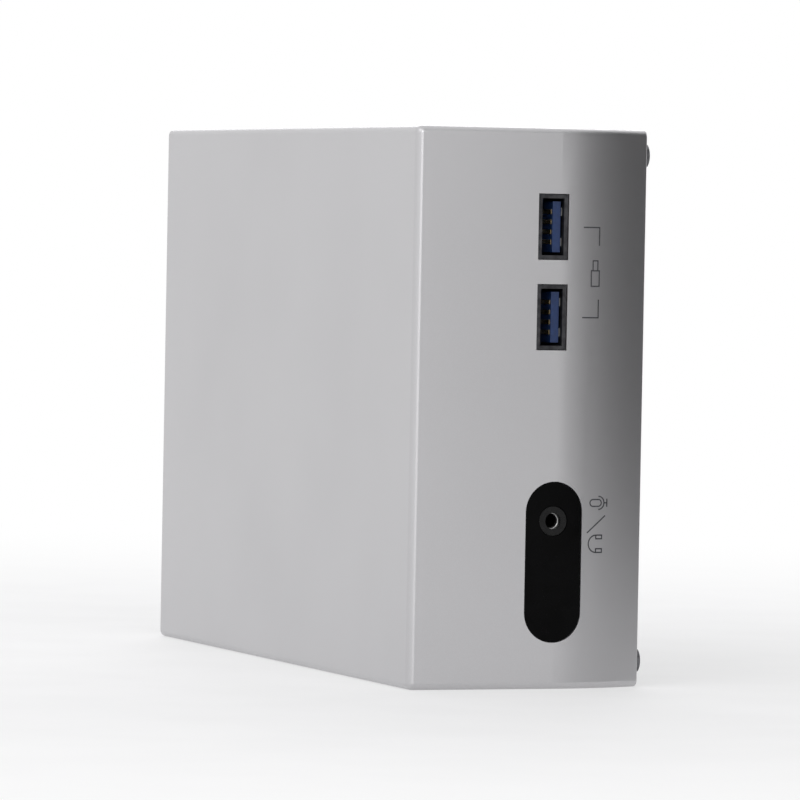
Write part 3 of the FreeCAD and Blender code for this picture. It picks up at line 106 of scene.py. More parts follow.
class Tone:
    """A number that changes over a surface, with arithmetic that adds Math nodes."""

    def __init__(self, paint, socket):
        self.paint = paint
        self.socket = socket

    def math(self, operation, first, second):
        made = self.paint.add("ShaderNodeMath", {"operation": operation}, {0: first, 1: second})
        return Tone(self.paint, made.outputs[0])

    def __add__(self, other):
        return self.math("ADD", self, other)

    def __radd__(self, other):
        return self.math("ADD", other, self)

    def __mul__(self, other):
        return self.math("MULTIPLY", self, other)

    def __rmul__(self, other):
        return self.math("MULTIPLY", other, self)


class Paint:
    """A node tree, and the few ways that this object's finishes add to it."""

    def __init__(self, tree, place="Object"):
        self.tree = tree
        self.place = self.add("ShaderNodeTexCoord").outputs[place]

    def add(self, kind, settings=None, inputs=None):
        made = self.tree.nodes.new(kind)
        for name, value in (settings or {}).items():
            setattr(made, name, value)
        for name, value in (inputs or {}).items():
            self.feed(made.inputs[name], value)
        return made

    def feed(self, socket, value):
        if isinstance(value, Tone):
            value = value.socket
        if isinstance(value, bpy.types.NodeSocket):
            self.tree.links.new(value, socket)
        else:
            socket.default_value = value

    def stretched(self, stretch):
        made = self.add("ShaderNodeVectorMath", {"operation": "MULTIPLY"},
                        {0: self.place, 1: stretch})
        return made.outputs[0]

    def noise(self, scale, stretch=(1, 1, 1), detail=3.0):
        made = self.add("ShaderNodeTexNoise", None,
                        {"Vector": self.stretched(stretch), "Scale": scale, "Detail": detail})
        return Tone(self, made.outputs[0])

    def cells(self, scale):
        made = self.add("ShaderNodeTexVoronoi", None, {"Vector": self.place, "Scale": scale})
        return Tone(self, made.outputs["Distance"])

    def spread(self, tone, low, high, to_low=0.0, to_high=1.0):
        made = self.add("ShaderNodeMapRange", {"interpolation_type": "SMOOTHSTEP"},
                        {0: tone, 1: low, 2: high, 3: to_low, 4: to_high})
        return Tone(self, made.outputs[0])

    def mix(self, factor, first, second):
        made = self.add("ShaderNodeMix", {"data_type": "RGBA"}, {0: factor, 6: first, 7: second})
        return made.outputs[2]

    def relief(self, height, strength, depth):
        made = self.add("ShaderNodeBump", None,
                        {"Strength": strength, "Distance": depth, "Height": height})
        return made.outputs["Normal"]

    def split(self):
        return [Tone(self, socket) for socket in
                self.add("ShaderNodeSeparateXYZ", None, {0: self.place}).outputs]


def colour(value):
    return (*value, 1.0) if len(value) == 3 else value


def new_finish(name, **even):
    """A material with one Principled shader; even gives the sockets that are the same all over."""
    material = bpy.data.materials.new(name)
    material.use_nodes = True
    paint = Paint(material.node_tree)
    shader = material.node_tree.nodes["Principled BSDF"]
    for socket, value in even.items():
        shader.inputs[socket.replace("_", " ")].default_value = value
    return material, paint, shader


def grained(name, dark, light, rough, metal=0.0, grain=900.0, stretch=(1, 1, 1),
            depth=0.02, strength=0.25, patch=60.0, **even):
    """The common finish: fine grain in colour and relief over broad faint patches; depth in mm."""
    material, paint, shader = new_finish(name, Metallic=metal, **even)
    fine = paint.noise(grain, stretch)
    broad = paint.noise(patch, detail=2.0)
    blend = paint.spread(fine * 0.55 + broad * 0.45, 0.36, 0.64)
    paint.feed(shader.inputs["Base Color"], paint.mix(blend, colour(dark), colour(light)))
    paint.feed(shader.inputs["Roughness"],
               paint.spread(broad * 0.6 + fine * 0.4, 0.3, 0.7, rough[0], rough[1]))
    paint.feed(shader.inputs["Normal"], paint.relief(fine, strength, depth * MM))
    return material


def silver_paint():
    """Satin silver paint: fine metal flakes under a thin clear layer."""
    material, paint, shader = new_finish("silver_paint", Metallic=0.92, Coat_Roughness=0.3)
    flakes = paint.cells(5200.0)
    orange_peel = paint.noise(420.0, detail=1.0)
    broad = paint.noise(16.0, detail=2.0)
    blend = paint.spread(flakes * 0.4 + broad * 0.6, 0.25, 0.6)
    paint.feed(shader.inputs["Base Color"],
               paint.mix(blend, (0.525, 0.52, 0.532, 1.0), (0.555, 0.55, 0.562, 1.0)))
    paint.feed(shader.inputs["Roughness"], paint.spread(flakes, 0.1, 0.7, 0.34, 0.42))
    paint.feed(shader.inputs["Coat Weight"], paint.spread(broad, 0.3, 0.7, 0.08, 0.16))
    paint.feed(shader.inputs["Normal"], paint.relief(flakes * 0.4 + orange_peel, 0.12, 0.02 * MM))
    return material


def board_green():
    """Solder mask over copper tracks that run along the board and turn at right angles."""
    material, paint, shader = new_finish("board_green", Coat_Roughness=0.15)
    _, along, up = paint.split()
    flat = paint.add("ShaderNodeCombineXYZ", None, {0: along, 1: up}).outputs[0]
    tracks = paint.add("ShaderNodeTexBrick", {"offset": 0.35, "squash": 0.6},
                       {"Vector": flat, "Scale": 260.0, "Mortar Size": 0.06, "Mortar Smooth": 0.2,
                        "Brick Width": 1.4, "Row Height": 0.22})
    lines = Tone(paint, tracks.outputs[1])
    weave = paint.noise(1400.0)
    ground = paint.mix(paint.spread(weave, 0.3, 0.7),
                       (0.008, 0.075, 0.035, 1.0), (0.014, 0.105, 0.05, 1.0))
    paint.feed(shader.inputs["Base Color"], paint.mix(lines, ground, (0.03, 0.19, 0.085, 1.0)))
    paint.feed(shader.inputs["Roughness"], paint.spread(weave, 0.2, 0.8, 0.28, 0.42))
    paint.feed(shader.inputs["Coat Weight"], paint.spread(weave, 0.2, 0.8, 0.2, 0.4))
    paint.feed(shader.inputs["Normal"], paint.relief(lines * 0.7 + weave * 0.3, 0.3, 0.03 * MM))
    return material


def glowing_ring():
    """Milky plastic that light shines through."""
    material, paint, shader = new_finish("glowing_ring", Emission_Strength=0.55)
    cloud = paint.noise(500.0)
    milky = paint.spread(cloud, 0.3, 0.7)
    paint.feed(shader.inputs["Base Color"],
               paint.mix(milky, (0.66, 0.7, 0.76, 1.0), (0.8, 0.83, 0.88, 1.0)))
    paint.feed(shader.inputs["Emission Color"],
               paint.mix(milky, (0.5, 0.7, 1.0, 1.0), (0.7, 0.85, 1.0, 1.0)))
    paint.feed(shader.inputs["Roughness"], paint.spread(cloud, 0.3, 0.7, 0.3, 0.42))
    return material


def background_rays(paint):
    """One where the ray comes from the camera, a reflection or glass, and nought for the rest."""
    rays = paint.add("ShaderNodeLightPath").outputs
    looks = Tone(paint, rays["Is Camera Ray"]) + Tone(paint, rays["Is Glossy Ray"])
    return paint.spread(looks + Tone(paint, rays["Is Transmission Ray"]), 0.0, 1.0)


def make_floor():
    """A wide pale floor that keeps the shadow near the object and fades into white far from it."""
    mesh = bmesh.new()
    bmesh.ops.create_grid(mesh, x_segments=8, y_segments=8, size=FLOOR_REACH)
    data = bpy.data.meshes.new("floor")
    mesh.to_mesh(data)
    floor = bpy.data.objects.new("floor", data)
    SCENE.collection.objects.link(floor)
    material, paint, shader = new_finish("pale_floor", Roughness=0.7)
    mottle = paint.noise(30.0)
    paint.feed(shader.inputs["Base Color"],
               paint.mix(paint.spread(mottle, 0.3, 0.7), FLOOR_DARK, FLOOR_LIGHT))
    away = paint.add("ShaderNodeVectorMath", {"operation": "LENGTH"}, {0: paint.place}).outputs[1]
    far = paint.spread(away, SHADOW_NEAR, SHADOW_FAR, NEAR_WHITE, 1.0)
    seen = background_rays(paint) * far
    white = paint.add("ShaderNodeEmission", None, {0: WHITE, 1: 1.0}).outputs[0]
    both = paint.add("ShaderNodeMixShader", None, {0: seen, 1: shader.outputs[0], 2: white})
    output = material.node_tree.nodes["Material Output"]
    paint.feed(output.inputs["Surface"], both.outputs[0])
    data.materials.append(material)


def make_flag():
    """A black studio card beside the port face, outside the view, that shades the crown."""
    mesh = bmesh.new()
    near, far, top = FLAG_NEAR, FLAG_FAR, FLAG_TOP
    card = [(FLAG_X, near, 0), (FLAG_X, far, 0), (FLAG_X, far, top), (FLAG_X, near, top)]
    mesh.faces.new([mesh.verts.new(corner) for corner in card])
    data = bpy.data.meshes.new("flag")
    mesh.to_mesh(data)
    flag = bpy.data.objects.new("flag", data)
    SCENE.collection.objects.link(flag)
    flag.visible_camera = False
    cloth = grained("flag_cloth", (0.006, 0.006, 0.006), (0.01, 0.01, 0.01), (0.8, 0.95))
    data.materials.append(cloth)


def make_world():
    """A pale sky that dims towards the base cover's side, and is white where it is looked at."""
    world = bpy.data.worlds.new("studio")
    world.use_nodes = True
    SCENE.world = world
    paint = Paint(world.node_tree, "Generated")
    sideways, _, _ = paint.split()
    shade = paint.spread(sideways, SKY_DIMS_FROM, 1.0)
    sky = paint.mix(shade, SKY_PALE, SKY_DIM)
    seen = background_rays(paint)
    background = world.node_tree.nodes["Background"]
    paint.feed(background.inputs["Color"], paint.mix(seen, sky, WHITE))


SCENE.view_settings.view_transform = "Standard"
make_camera()
make_world()
make_floor()
make_flag()
for lamp in LAMPS:
    make_lamp(*lamp)


# ---------------------------------------------------------------- finishes

FINISHES = {
    "case_silver": silver_paint(),
    "cover_grey": grained("grey_powder_coat", (0.085, 0.086, 0.09), (0.125, 0.126, 0.13),
                          (0.5, 0.64), grain=1700.0, depth=0.05, strength=0.5),
    "panel_black": grained("black_powder_coat", (0.02, 0.02, 0.022), (0.036, 0.036, 0.039),
                           (0.45, 0.6), grain=1900.0, depth=0.05, strength=0.5),
    "foot_rubber": grained("foot_rubber", (0.018, 0.018, 0.018), (0.034, 0.034, 0.034), (0.7, 0.85),
                           grain=1300.0, depth=0.04, strength=0.4),
    "window_black": grained("window_gloss", (0.0008, 0.0008, 0.0009), (0.0018, 0.0018, 0.002),
                            (0.07, 0.13), grain=300.0, depth=0.002, strength=0.05, patch=90.0,
                            Specular_IOR_Level=0.05),
    "black_plastic": grained("black_moulding", (0.012, 0.012, 0.013), (0.024, 0.024, 0.026),
                             (0.34, 0.5), grain=1500.0, depth=0.03, strength=0.3),
    # Blue moulding of the socket tongues, its own blue darkened further as painted shade for the
    # insides of the sockets it sits in.
    "blue_plastic": grained("blue_moulding_painted_shade", (0.005, 0.022, 0.085), (0.008, 0.032, 0.12),
                            (0.36, 0.5), grain=1500.0, depth=0.02),
    "white_plastic": glowing_ring(),
    "socket_steel": grained("plated_steel", (0.5, 0.5, 0.5), (0.68, 0.68, 0.67), (0.22, 0.36), 1.0,
                            grain=500.0, stretch=(1, 0.12, 1), depth=0.01),
    "screw_steel": grained("black_zinc", (0.09, 0.09, 0.095), (0.19, 0.19, 0.2), (0.26, 0.42), 0.9,
                           grain=1200.0, depth=0.02),
    "contact_gold": grained("gold_plate", (0.8, 0.58, 0.22), (0.92, 0.7, 0.32), (0.18, 0.3), 1.0,
                            grain=900.0, stretch=(1, 0.1, 1), depth=0.01),
    "standoff_brass": grained("turned_brass", (0.62, 0.46, 0.2), (0.8, 0.62, 0.3),
                              (0.22, 0.36), 1.0, grain=800.0, stretch=(4, 0.5, 0.5), depth=0.02),
    "copper": grained("bare_copper", (0.62, 0.3, 0.17), (0.8, 0.42, 0.26), (0.24, 0.42), 1.0,
                      grain=350.0, stretch=(1, 0.08, 1), depth=0.02),
    "aluminium": grained("bare_aluminium", (0.64, 0.65, 0.66), (0.8, 0.8, 0.81), (0.28, 0.44), 1.0,
                         grain=420.0, stretch=(1, 0.06, 1), depth=0.015),
    "board_green": board_green(),
    "chip_black": grained("chip_moulding", (0.014, 0.014, 0.016), (0.03, 0.03, 0.033), (0.4, 0.56),
                          grain=2100.0, depth=0.03, strength=0.4),
    "silicon": grained("chip_carrier", (0.03, 0.07, 0.055), (0.06, 0.1, 0.085), (0.14, 0.3), 0.2,
                       grain=700.0, depth=0.01),
    "choke_grey": grained("pressed_ferrite", (0.08, 0.08, 0.083), (0.16, 0.16, 0.165), (0.5, 0.66),
                          grain=1600.0, depth=0.06, strength=0.5),
    "can_aluminium": grained("drawn_can", (0.58, 0.58, 0.6), (0.75, 0.75, 0.77), (0.24, 0.38), 1.0,
                             grain=500.0, stretch=(0.1, 1, 1), depth=0.01),
    "ribbon_grey": grained("ribbon_film", (0.28, 0.29, 0.31), (0.4, 0.41, 0.43), (0.4, 0.52),
                           grain=600.0, stretch=(0.05, 1, 1.6), depth=0.03, strength=0.4),
}
MARK_DARK = grained("printed_dark", (0.035, 0.035, 0.04), (0.06, 0.06, 0.066), (0.45, 0.6),
                    grain=2500.0, depth=0.01)
MARK_PALE = grained("printed_pale", (0.5, 0.5, 0.51), (0.62, 0.62, 0.63), (0.45, 0.6), grain=2500.0,
                    depth=0.01)
LAMP_GREEN = grained("green_lamp", (0.03, 0.3, 0.08), (0.05, 0.42, 0.12), (0.2, 0.35), grain=900.0)
LAMP_AMBER = grained("amber_lamp", (0.5, 0.24, 0.02), (0.65, 0.33, 0.04), (0.2, 0.35), grain=900.0)
PART_CERAMIC = grained("resistor_body", (0.05, 0.05, 0.055), (0.11, 0.1, 0.09), (0.3, 0.5),
                       grain=1500.0)
DEEP_BLACK = grained("audio_moulding", (0.002, 0.002, 0.0022), (0.006, 0.006, 0.0065),
                     (0.22, 0.34), grain=1200.0, Specular_IOR_Level=0.25)
# Painted shade: a darkened copy of the socket steel, standing in for the shade inside the front
# sockets' recessed openings.
SHADED_SOCKET_STEEL = grained("socket_steel_painted_shade", (0.03, 0.03, 0.033), (0.075, 0.075, 0.08), (0.3, 0.45), 0.9,
                      grain=700.0, stretch=(1, 0.15, 1), depth=0.01)

for entry in frame["record"]["subparts"]:
    node_mesh = NODES[entry["node"]].data
    node_mesh.materials.clear()
    node_mesh.materials.append(FINISHES[entry["material_slot"]])
# The front sockets' shells take the steel with painted shade; the rear shell keeps the plain steel.
for node in ("usb_shell_front_upper", "usb_shell_front_lower"):
    NODES[node].data.materials[0] = SHADED_SOCKET_STEEL
NODES["audio_socket"].data.materials[0] = DEEP_BLACK


# ---------------------------------------------------------------- meshes

def corners(node):
    """A node's low and high corners, in millimetres."""
    low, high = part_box(node)
    return low / MM, high / MM


def add_piece(name, mesh, material, body, bevel=0.0, smooth=False):
    """A mesh in millimetres becomes a named piece that rides on a body; bevel in mm."""
    bmesh.ops.recalc_face_normals(mesh, faces=mesh.faces)
    data = bpy.data.meshes.new(name)
    mesh.to_mesh(data)
    mesh.free()
    data.transform(Matrix.Scale(MM, 4))
    data.materials.append(material)
    if smooth:
        data.shade_smooth()
    piece = bpy.data.objects.new(name, data)
    SCENE.collection.objects.link(piece)
    if bevel:
        rounded = piece.modifiers.new("rounded", "BEVEL")
        rounded.width = bevel * MM
        rounded.segments = 2
        rounded.limit_method = "ANGLE"
    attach(piece, body)
    return piece


def brick(mesh, low, high):
    low, high = Vector(low), Vector(high)
    middle = Matrix.Translation((low + high) / 2)
    size = Matrix.Diagonal((*(high - low), 1))
    bmesh.ops.create_cube(mesh, size=1, matrix=middle @ size)


def prism(mesh, outline, lift):
    """A closed outline of 3-D points and a copy of it at the end of lift, joined by walls."""
    first = [mesh.verts.new(point) for point in outline]
    second = [mesh.verts.new(Vector(point) + Vector(lift)) for point in outline]
    mesh.faces.new(first)
    mesh.faces.new(second[::-1])
    for here in range(len(outline)):
        there = (here + 1) % len(outline)
        mesh.faces.new((first[here], second[here], second[there], first[there]))


def lathe(mesh, profile, centre, steps=48):
    """A closed ring about a line along Y; profile holds (y, radius) points."""
    rings = []
    for step in range(steps):
        turn = 2 * math.pi * step / steps
        way = (math.cos(turn), math.sin(turn))
        rings.append([mesh.verts.new((centre[0] + radius * way[0], y, centre[1] + radius * way[1]))
                      for y, radius in profile])
    count = len(profile)
    for step in range(steps):
        ring, following = rings[step], rings[(step + 1) % steps]
        for here in range(count):
            there = (here + 1) % count
            mesh.faces.new((ring[here], ring[there], following[there], following[here]))


def short_steps(points, closed):
    """The same line with points near enough together to follow a curved face."""
    found = []
    ends = points[1:] + (points[:1] if closed else [])
    for here, there in zip(points, ends):
        parts = max(1, math.ceil((there - here).length / INK_STEP))
        found += [here.lerp(there, part / parts) for part in range(parts)]
    return found if closed else found + [points[-1]]


def ribbon(mesh, points, width, place, closed=False):
    """A printed stroke along points; place turns (across, up, height) into a 3-D point."""
    points = short_steps([Vector(point) for point in points], closed)
    rails = []
    for number, point in enumerate(points):
        before = points[number - 1] if closed or number else None
        after = points[(number + 1) % len(points)] if closed or number < len(points) - 1 else None
        arriving = (point - before).normalized() if before else (after - point).normalized()
        leaving = (after - point).normalized() if after else arriving
        along = (arriving + leaving).normalized()
        side = Vector((-along.y, along.x)) * width / 2 / max(0.5, along.dot(arriving))
        rails.append([mesh.verts.new(place(*(point + side * way), height))
                      for way in (1, -1) for height in (-INK_SUNK, INK_PROUD)])
    pairs = list(zip(rails, rails[1:]))
    if closed:
        pairs.append((rails[-1], rails[0]))
    for here, there in pairs:
        for first, second in ((0, 1), (1, 3), (3, 2), (2, 0)):
            mesh.faces.new((here[first], here[second], there[second], there[first]))
    if not closed:
        for end in (rails[0], rails[-1]):
            mesh.faces.new((end[0], end[1], end[3], end[2]))


def arc(centre, radius, start, stop, steps=20):
    """Points on part of a circle; angles in degrees, from the first axis towards the second."""
    angles = [math.radians(start + (stop - start) * step / steps) for step in range(steps + 1)]
    return [(centre[0] + radius * math.cos(a), centre[1] + radius * math.sin(a)) for a in angles]


# ---------------------------------------------------------------- printed marks

INK_SUNK = 0.05
INK_PROUD = 0.03
INK_STEP = 0.5
STROKE = 0.28
FINE_STROKE = 0.22
THIN_STROKE = 0.2
BUTTON_STROKE = 0.34
CASE_LOW, _ = corners("case_shell")
PORT_FACE = CASE_LOW.y
CROWN_START = CASE_LOW.x + 34
CROWN_RADIUS = 50.9
BRACKET_X = CASE_LOW.x + 43.4
BRACKET_WIDE = 4.0
BRACKET_RUN = 4.0
AUDIO_SIGN_X = CASE_LOW.x + 43.9
MICROPHONE_UP = 13.0
SLASH_UP = 8.3
HEADPHONES_UP = 4.0
HEADBAND_RADIUS = 1.9
USB_UPPER = sum(corners("usb_shell_front_upper"), Vector()) / 2
USB_LOWER = sum(corners("usb_shell_front_lower"), Vector()) / 2
AUDIO_LOW, AUDIO_HIGH = corners("audio_socket")
WINDOW = sum(corners("io_window"), Vector()) / 2


def on_crown(x, z, height):
    """A point on the port face, which is flat at first and then falls away on an arc."""
    beyond = max(0.0, x - CROWN_START)
    fall = CROWN_RADIUS - math.sqrt(CROWN_RADIUS ** 2 - beyond ** 2)
    return Vector((x, PORT_FACE + fall - height, z))


def make_port_marks():
    """A bracket that joins the two sockets, with a plain plug between its ends."""
    outer = BRACKET_X
    mesh = bmesh.new()
    for z, way in ((USB_UPPER.z, -1), (USB_LOWER.z, 1)):
        points = [(outer - BRACKET_WIDE, z), (outer - 1.3, z), (outer, z),
                  (outer, z + way * BRACKET_RUN)]
        ribbon(mesh, points, STROKE, on_crown)
    middle = (outer - 0.9, (USB_UPPER.z + USB_LOWER.z) / 2)
    plug = [(-1.0, -3.0), (1.0, -3.0), (1.0, 0.4), (-1.0, 0.4)]
    collar = [(-0.6, 0.4), (0.6, 0.4), (0.6, 2.6), (-0.6, 2.6)]
    for shape in (plug, collar):
        points = [(middle[0] + x, middle[1] + z) for x, z in shape]
        ribbon(mesh, points, STROKE, on_crown, closed=True)
    add_piece("port_marks", mesh, MARK_DARK, "case")


def make_audio_marks():
    """A microphone, a slash and headphones, each drawn lying on its side."""
    x = AUDIO_SIGN_X
    mesh = bmesh.new()
    capsule_z = WINDOW.z + MICROPHONE_UP
    capsule = arc((x - 0.9, capsule_z), 0.75, 90, 270, 10)
    capsule += arc((x + 0.5, capsule_z), 0.75, -90, 90, 10)
    ribbon(mesh, capsule, STROKE, on_crown, closed=True)
    ribbon(mesh, arc((x + 0.5, capsule_z), 1.45, -90, 90, 14), STROKE, on_crown)
    ribbon(mesh, [(x + 1.95, capsule_z), (x + 2.7, capsule_z)], STROKE, on_crown)
    ribbon(mesh, [(x + 2.7, capsule_z - 0.9), (x + 2.7, capsule_z + 0.9)], STROKE, on_crown)
    slash_z = WINDOW.z + SLASH_UP
    ribbon(mesh, [(x - 2.3, slash_z - 1.9), (x + 2.3, slash_z + 1.9)], STROKE, on_crown)
    band_z = WINDOW.z + HEADPHONES_UP
    ribbon(mesh, arc((x, band_z), HEADBAND_RADIUS, 90, 270, 18), STROKE, on_crown)
    for way in (-1, 1):
        outside = band_z + way * HEADBAND_RADIUS
        inside = band_z + way * 1.1
        cup = [(x, outside), (x + 1.5, outside), (x + 1.5, inside), (x, inside)]
        ribbon(mesh, cup, STROKE, on_crown, closed=True)
    add_piece("audio_marks", mesh, MARK_DARK, "case")


_, PANEL_HIGH = corners("rear_panel")
BUTTON_LOW, BUTTON_HIGH = corners("power_button")
BUTTON_MIDDLE = (BUTTON_LOW + BUTTON_HIGH) / 2


def on_panel(x, z, height):
    return Vector((x, PANEL_HIGH.y + height, z))


def on_button(x, z, height):
    return Vector((x, BUTTON_HIGH.y + height, z))


def square(x, z, half_x, half_z):
    return [(x - half_x, z - half_z), (x + half_x, z - half_z),
            (x + half_x, z + half_z), (x - half_x, z + half_z)]


def make_rear_marks():
    """Small signs over the rear sockets, read with the computer lying on its feet."""
    mesh = bmesh.new()
    row = PANEL_HIGH.x - 4.4
    for node in ("display_port_shell", "video_port_shell"):
        low, high = corners(node)
        z = (low.z + high.z) / 2
        ribbon(mesh, square(row - 7.0, z, 1.2, 1.9), FINE_STROKE, on_panel, closed=True)
        ribbon(mesh, [(row - 5.8, z), (row - 5.0, z)], FINE_STROKE, on_panel)
        ribbon(mesh, [(row - 5.0, z - 1.0), (row - 5.0, z + 1.0)], FINE_STROKE, on_panel)
    low, high = corners("network_socket")
    z = (low.z + high.z) / 2
    x = high.x + 2.6
    ribbon(mesh, square(x - 0.4, z, 0.45, 0.6), THIN_STROKE, on_panel, closed=True)
    ribbon(mesh, [(x + 0.05, z), (x + 0.7, z)], THIN_STROKE, on_panel)
    ribbon(mesh, [(x + 0.7, z - 1.5), (x + 0.7, z + 1.5)], THIN_STROKE, on_panel)
    for way in (-1, 1):
        ribbon(mesh, square(x + 1.5, z + way * 1.5, 0.45, 0.6), THIN_STROKE, on_panel, closed=True)
    low, high = corners("power_inlet")
    z = (low.z + high.z) / 2
    x = high.x + 3.4
    ribbon(mesh, arc((x, z), 0.9, 35, 325, 20), FINE_STROKE, on_panel)
    ribbon(mesh, [(x - 0.2, z), (x + 1.9, z)], FINE_STROKE, on_panel)
    ribbon(mesh, [(x - 2.6, z), (x - 0.9, z)], FINE_STROKE, on_panel)
    add_piece("rear_marks", mesh, MARK_PALE, "case")


def make_button_mark():
    mesh = bmesh.new()
    x, z = BUTTON_MIDDLE.x, BUTTON_MIDDLE.z
    ribbon(mesh, arc((x, z), 1.7, 220, 500, 32), BUTTON_STROKE, on_button)
    ribbon(mesh, [(x - 2.3, z), (x - 0.6, z)], BUTTON_STROKE, on_button)
    add_piece("button_mark", mesh, MARK_PALE, "button")


# ---------------------------------------------------------------- sockets

USB_HALF_OPEN = 2.56
USB_REAR_INSET = 3.41
SPRING_OFFSET = 3.3
SPRING_WIDE = 1.8
SPRING_BACK = 0.02
SPRING_BOWS = ((-1, 0.62), (1, 0.3))
SPRING_BEVEL = 0.04
WIRE_COUNT = 8
WIRE_PITCH = 1.02
WIRE_THICK = 0.34
LAMP_OFFSET = 5.6
LAMP_HALF_LONG = 1.4
PIN_COUNT = 9
PIN_MARGIN = 0.8
PIN_THICK = 0.1
PIN_INSET = 0.5


def usb_springs(mesh, x, z, mouth, way):
    """Two bowed springs on each long side of a socket's opening; way points into the socket."""
    for side, bow in SPRING_BOWS:
        face = x + side * USB_HALF_OPEN
        profile = [(0.6, 0.0), (1.6, 0.1), (3.2, bow), (4.4, bow + 0.08), (5.8, bow * 0.7),
                   (8.0, 0.0)]
        for offset in (-SPRING_OFFSET, SPRING_OFFSET):
            low_z = z + offset - SPRING_WIDE / 2
            outline = [(face - side * bulge, mouth + way * y, low_z) for y, bulge in profile]
            outline += [(face + side * SPRING_BACK, mouth + way * y, low_z)
                        for y, _ in profile[::-1]]
            prism(mesh, outline[1:-1], (0, 0, SPRING_WIDE))


def make_usb_parts():
    steel = FINISHES["socket_steel"]
    mesh = bmesh.new()
    for node in ("usb_shell_front_upper", "usb_shell_front_lower"):
        low, high = corners(node)
        usb_springs(mesh, (low.x + high.x) / 2, (low.z + high.z) / 2, low.y, 1)
    add_piece("front_usb_springs", mesh, steel, "case", bevel=SPRING_BEVEL)

    mesh = bmesh.new()
    low, high = corners("usb_shell_rear")
    z = (low.z + high.z) / 2
    for x in (low.x + USB_REAR_INSET, high.x - USB_REAR_INSET):
        usb_springs(mesh, x, z, high.y, -1)
    add_piece("rear_usb_springs", mesh, steel, "case", bevel=SPRING_BEVEL)


def make_network_parts():
    """Eight bent wires and two lamps."""
    low, high = corners("network_socket")
    z = (low.z + high.z) / 2
    mesh = bmesh.new()
    for wire in range(WIRE_COUNT):
        wire_z = z + WIRE_PITCH * (wire - (WIRE_COUNT - 1) / 2) - WIRE_THICK / 2
        outline = [(low.x + across, high.y - deep) for across, deep in
                   ((2.05, 2.0), (2.3, 2.0), (5.2, 9.8), (5.2, 11.9), (4.9, 11.9), (4.9, 9.8))]
        prism(mesh, [(x, y, wire_z) for x, y in outline], (0, 0, WIRE_THICK))
    add_piece("network_wires", mesh, FINISHES["contact_gold"], "case")
    for name, way, material in (("network_lamp_green", -1, LAMP_GREEN),
                                ("network_lamp_amber", 1, LAMP_AMBER)):
        mesh = bmesh.new()
        middle = z + way * LAMP_OFFSET
        brick(mesh, (high.x - 2.2, high.y - 0.4, middle - LAMP_HALF_LONG),
              (high.x - 0.7, high.y + 0.12, middle + LAMP_HALF_LONG))
        add_piece(name, mesh, material, "case", bevel=0.15)


def make_video_contacts():
    """Gold pins on both sides of each video socket's blade."""
    mesh = bmesh.new()
    for node in ("display_port_blade", "video_port_blade"):
        low, high = corners(node)
        pitch = (high.z - low.z - 2 * PIN_MARGIN) / PIN_COUNT
        for pin in range(PIN_COUNT):
            pin_z = low.z + PIN_MARGIN + pitch * (pin + 0.25)
            for x in (low.x - PIN_THICK, high.x):
                brick(mesh, (x, low.y + PIN_INSET, pin_z),
                      (x + PIN_THICK, high.y - PIN_INSET, pin_z + pitch * 0.5))
    add_piece("video_contacts", mesh, FINISHES["contact_gold"], "case")


def make_audio_ring():
    """The metal ring inside the audio socket."""
    centre = (WINDOW.x, (AUDIO_LOW.z + AUDIO_HIGH.z) / 2)
    mesh = bmesh.new()
    front = AUDIO_LOW.y
    lathe(mesh, [(front + 1.4, 1.79), (front + 1.4, 1.66), (front + 1.9, 1.52), (front + 2.6, 1.52),
                 (front + 3.0, 1.79)], centre)
    add_piece("audio_contact_ring", mesh, FINISHES["socket_steel"], "case",
              smooth=True)


# ---------------------------------------------------------------- inside

BOARD_LOW, BOARD_HIGH = corners("main_board")
TRAY_LOW, TRAY_HIGH = corners("drive_tray")
DRIVE_LOW, DRIVE_HIGH = corners("storage_drive")


PART_SIZES = ((2.0, 1.25, 0.6), (1.6, 0.8, 0.5), (1.0, 0.5, 0.4))  # long, wide, tall
PART_COLUMNS = ((-32.0, -6.0), (6.0, 46.0))
PART_ROW = 2.6
PART_SHARE = 0.72
END_SHARE = 0.25
END_PROUD = 0.02


def rounded_square(low_y, low_z, high_y, high_z, radius, x):
    """A square outline with round corners, across X."""
    near_y, near_z = low_y + radius, low_z + radius
    far_y, far_z = high_y - radius, high_z - radius
    outline = []
    for y, z, start in ((far_y, far_z, 0), (near_y, far_z, 90), (near_y, near_z, 180),
                        (far_y, near_z, 270)):
        outline += [(x, py, pz) for py, pz in arc((y, z), radius, start, start + 90, 6)]
    return outline


def make_drive_lid():
    """Two raised fields and four rims on the drive's lid."""
    mesh = bmesh.new()
    wide = rounded_square(DRIVE_LOW.y + 5, DRIVE_LOW.z + 5, DRIVE_HIGH.y - 9, DRIVE_HIGH.z - 5,
                          6, DRIVE_HIGH.x - 0.1)
    narrow = rounded_square(DRIVE_LOW.y + 12, DRIVE_LOW.z + 12, DRIVE_HIGH.y - 34,
                            DRIVE_HIGH.z - 12, 5, DRIVE_HIGH.x + 0.3)
    prism(mesh, wide, (0.5, 0, 0))
    prism(mesh, narrow, (0.4, 0, 0))
    for y in (DRIVE_LOW.y + 3, DRIVE_HIGH.y - 4.5):
        for z in (DRIVE_LOW.z + 3, DRIVE_HIGH.z - 3):
            rim = [(DRIVE_HIGH.x - 0.1, py, pz) for py, pz in arc((y, z), 1.5, 0, 345, 23)]
            prism(mesh, rim, (0.55, 0, 0))
    add_piece("drive_lid", mesh, FINISHES["aluminium"], "case", bevel=0.12)


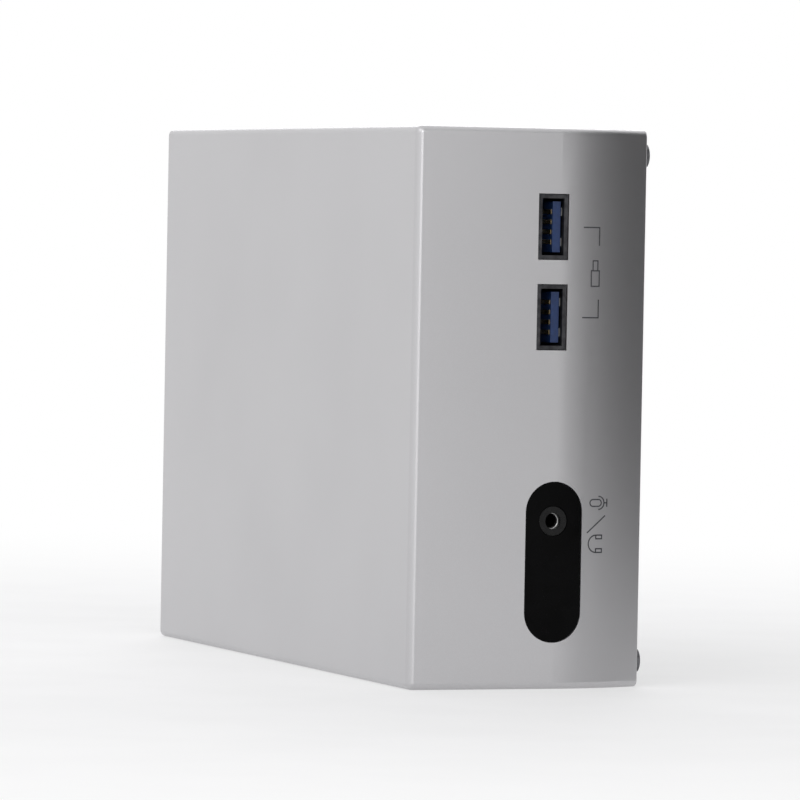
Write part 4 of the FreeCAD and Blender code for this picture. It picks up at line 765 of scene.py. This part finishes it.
def add_board_part(bodies, ends, y, z, long, wide, tall):
    """One small part: a dark body between two metal ends."""
    face = BOARD_HIGH.x
    end = END_SHARE * long
    after = z + (1 - END_SHARE) * long
    brick(bodies, (face, y, z + end), (face + tall, y + wide, after))
    for start in (z, after):
        brick(ends, (face, y - END_PROUD, start),
              (face + tall + END_PROUD, y + wide + END_PROUD, start + end))


def make_board_parts():
    """Rows of small parts beside the drive tray, on the board's base side."""
    draw = random.Random(7)
    bodies, ends = bmesh.new(), bmesh.new()
    strips = ((TRAY_HIGH.z + 3, BOARD_HIGH.z - 5), (BOARD_LOW.z + 2, TRAY_LOW.z - 3))
    for low_z, high_z in strips:
        for low_y, high_y in PART_COLUMNS:
            y = low_y
            while y < high_y:
                z = low_z + draw.uniform(0, 1)
                while z < high_z - 2:
                    long, wide, tall = draw.choice(PART_SIZES)
                    if draw.random() < PART_SHARE:
                        add_board_part(bodies, ends, y, z, long, wide, tall)
                    z += long + draw.uniform(0.6, 1.8)
                y += PART_ROW
    add_piece("board_part_bodies", bodies, PART_CERAMIC, "case")
    add_piece("board_part_ends", ends, FINISHES["socket_steel"], "case")


def make_card_parts():
    """The wireless card's metal shield, and the plus sign on the coin cell."""
    low, high = corners("wireless_card")
    mesh = bmesh.new()
    shield = rounded_square(low.y + 2.5, low.z + 6, high.y - 2.5, high.z - 7, 0.8, high.x - 0.05)
    prism(mesh, shield, (1.3, 0, 0))
    add_piece("wireless_shield", mesh, FINISHES["socket_steel"], "case", bevel=0.15)
    low, high = corners("coin_cell")
    y, z = (low.y + high.y) / 2, (low.z + high.z) / 2
    mesh = bmesh.new()
    for half_y, half_z in ((2.2, 0.35), (0.35, 2.2)):
        brick(mesh, (high.x - 0.02, y - half_y, z - half_z),
              (high.x + 0.05, y + half_y, z + half_z))
    add_piece("cell_plus_sign", mesh, FINISHES["screw_steel"], "case")


make_port_marks()
make_audio_marks()
make_rear_marks()
make_button_mark()
make_usb_parts()
make_network_parts()
make_video_contacts()
make_audio_ring()
make_drive_lid()
make_board_parts()
make_card_parts()
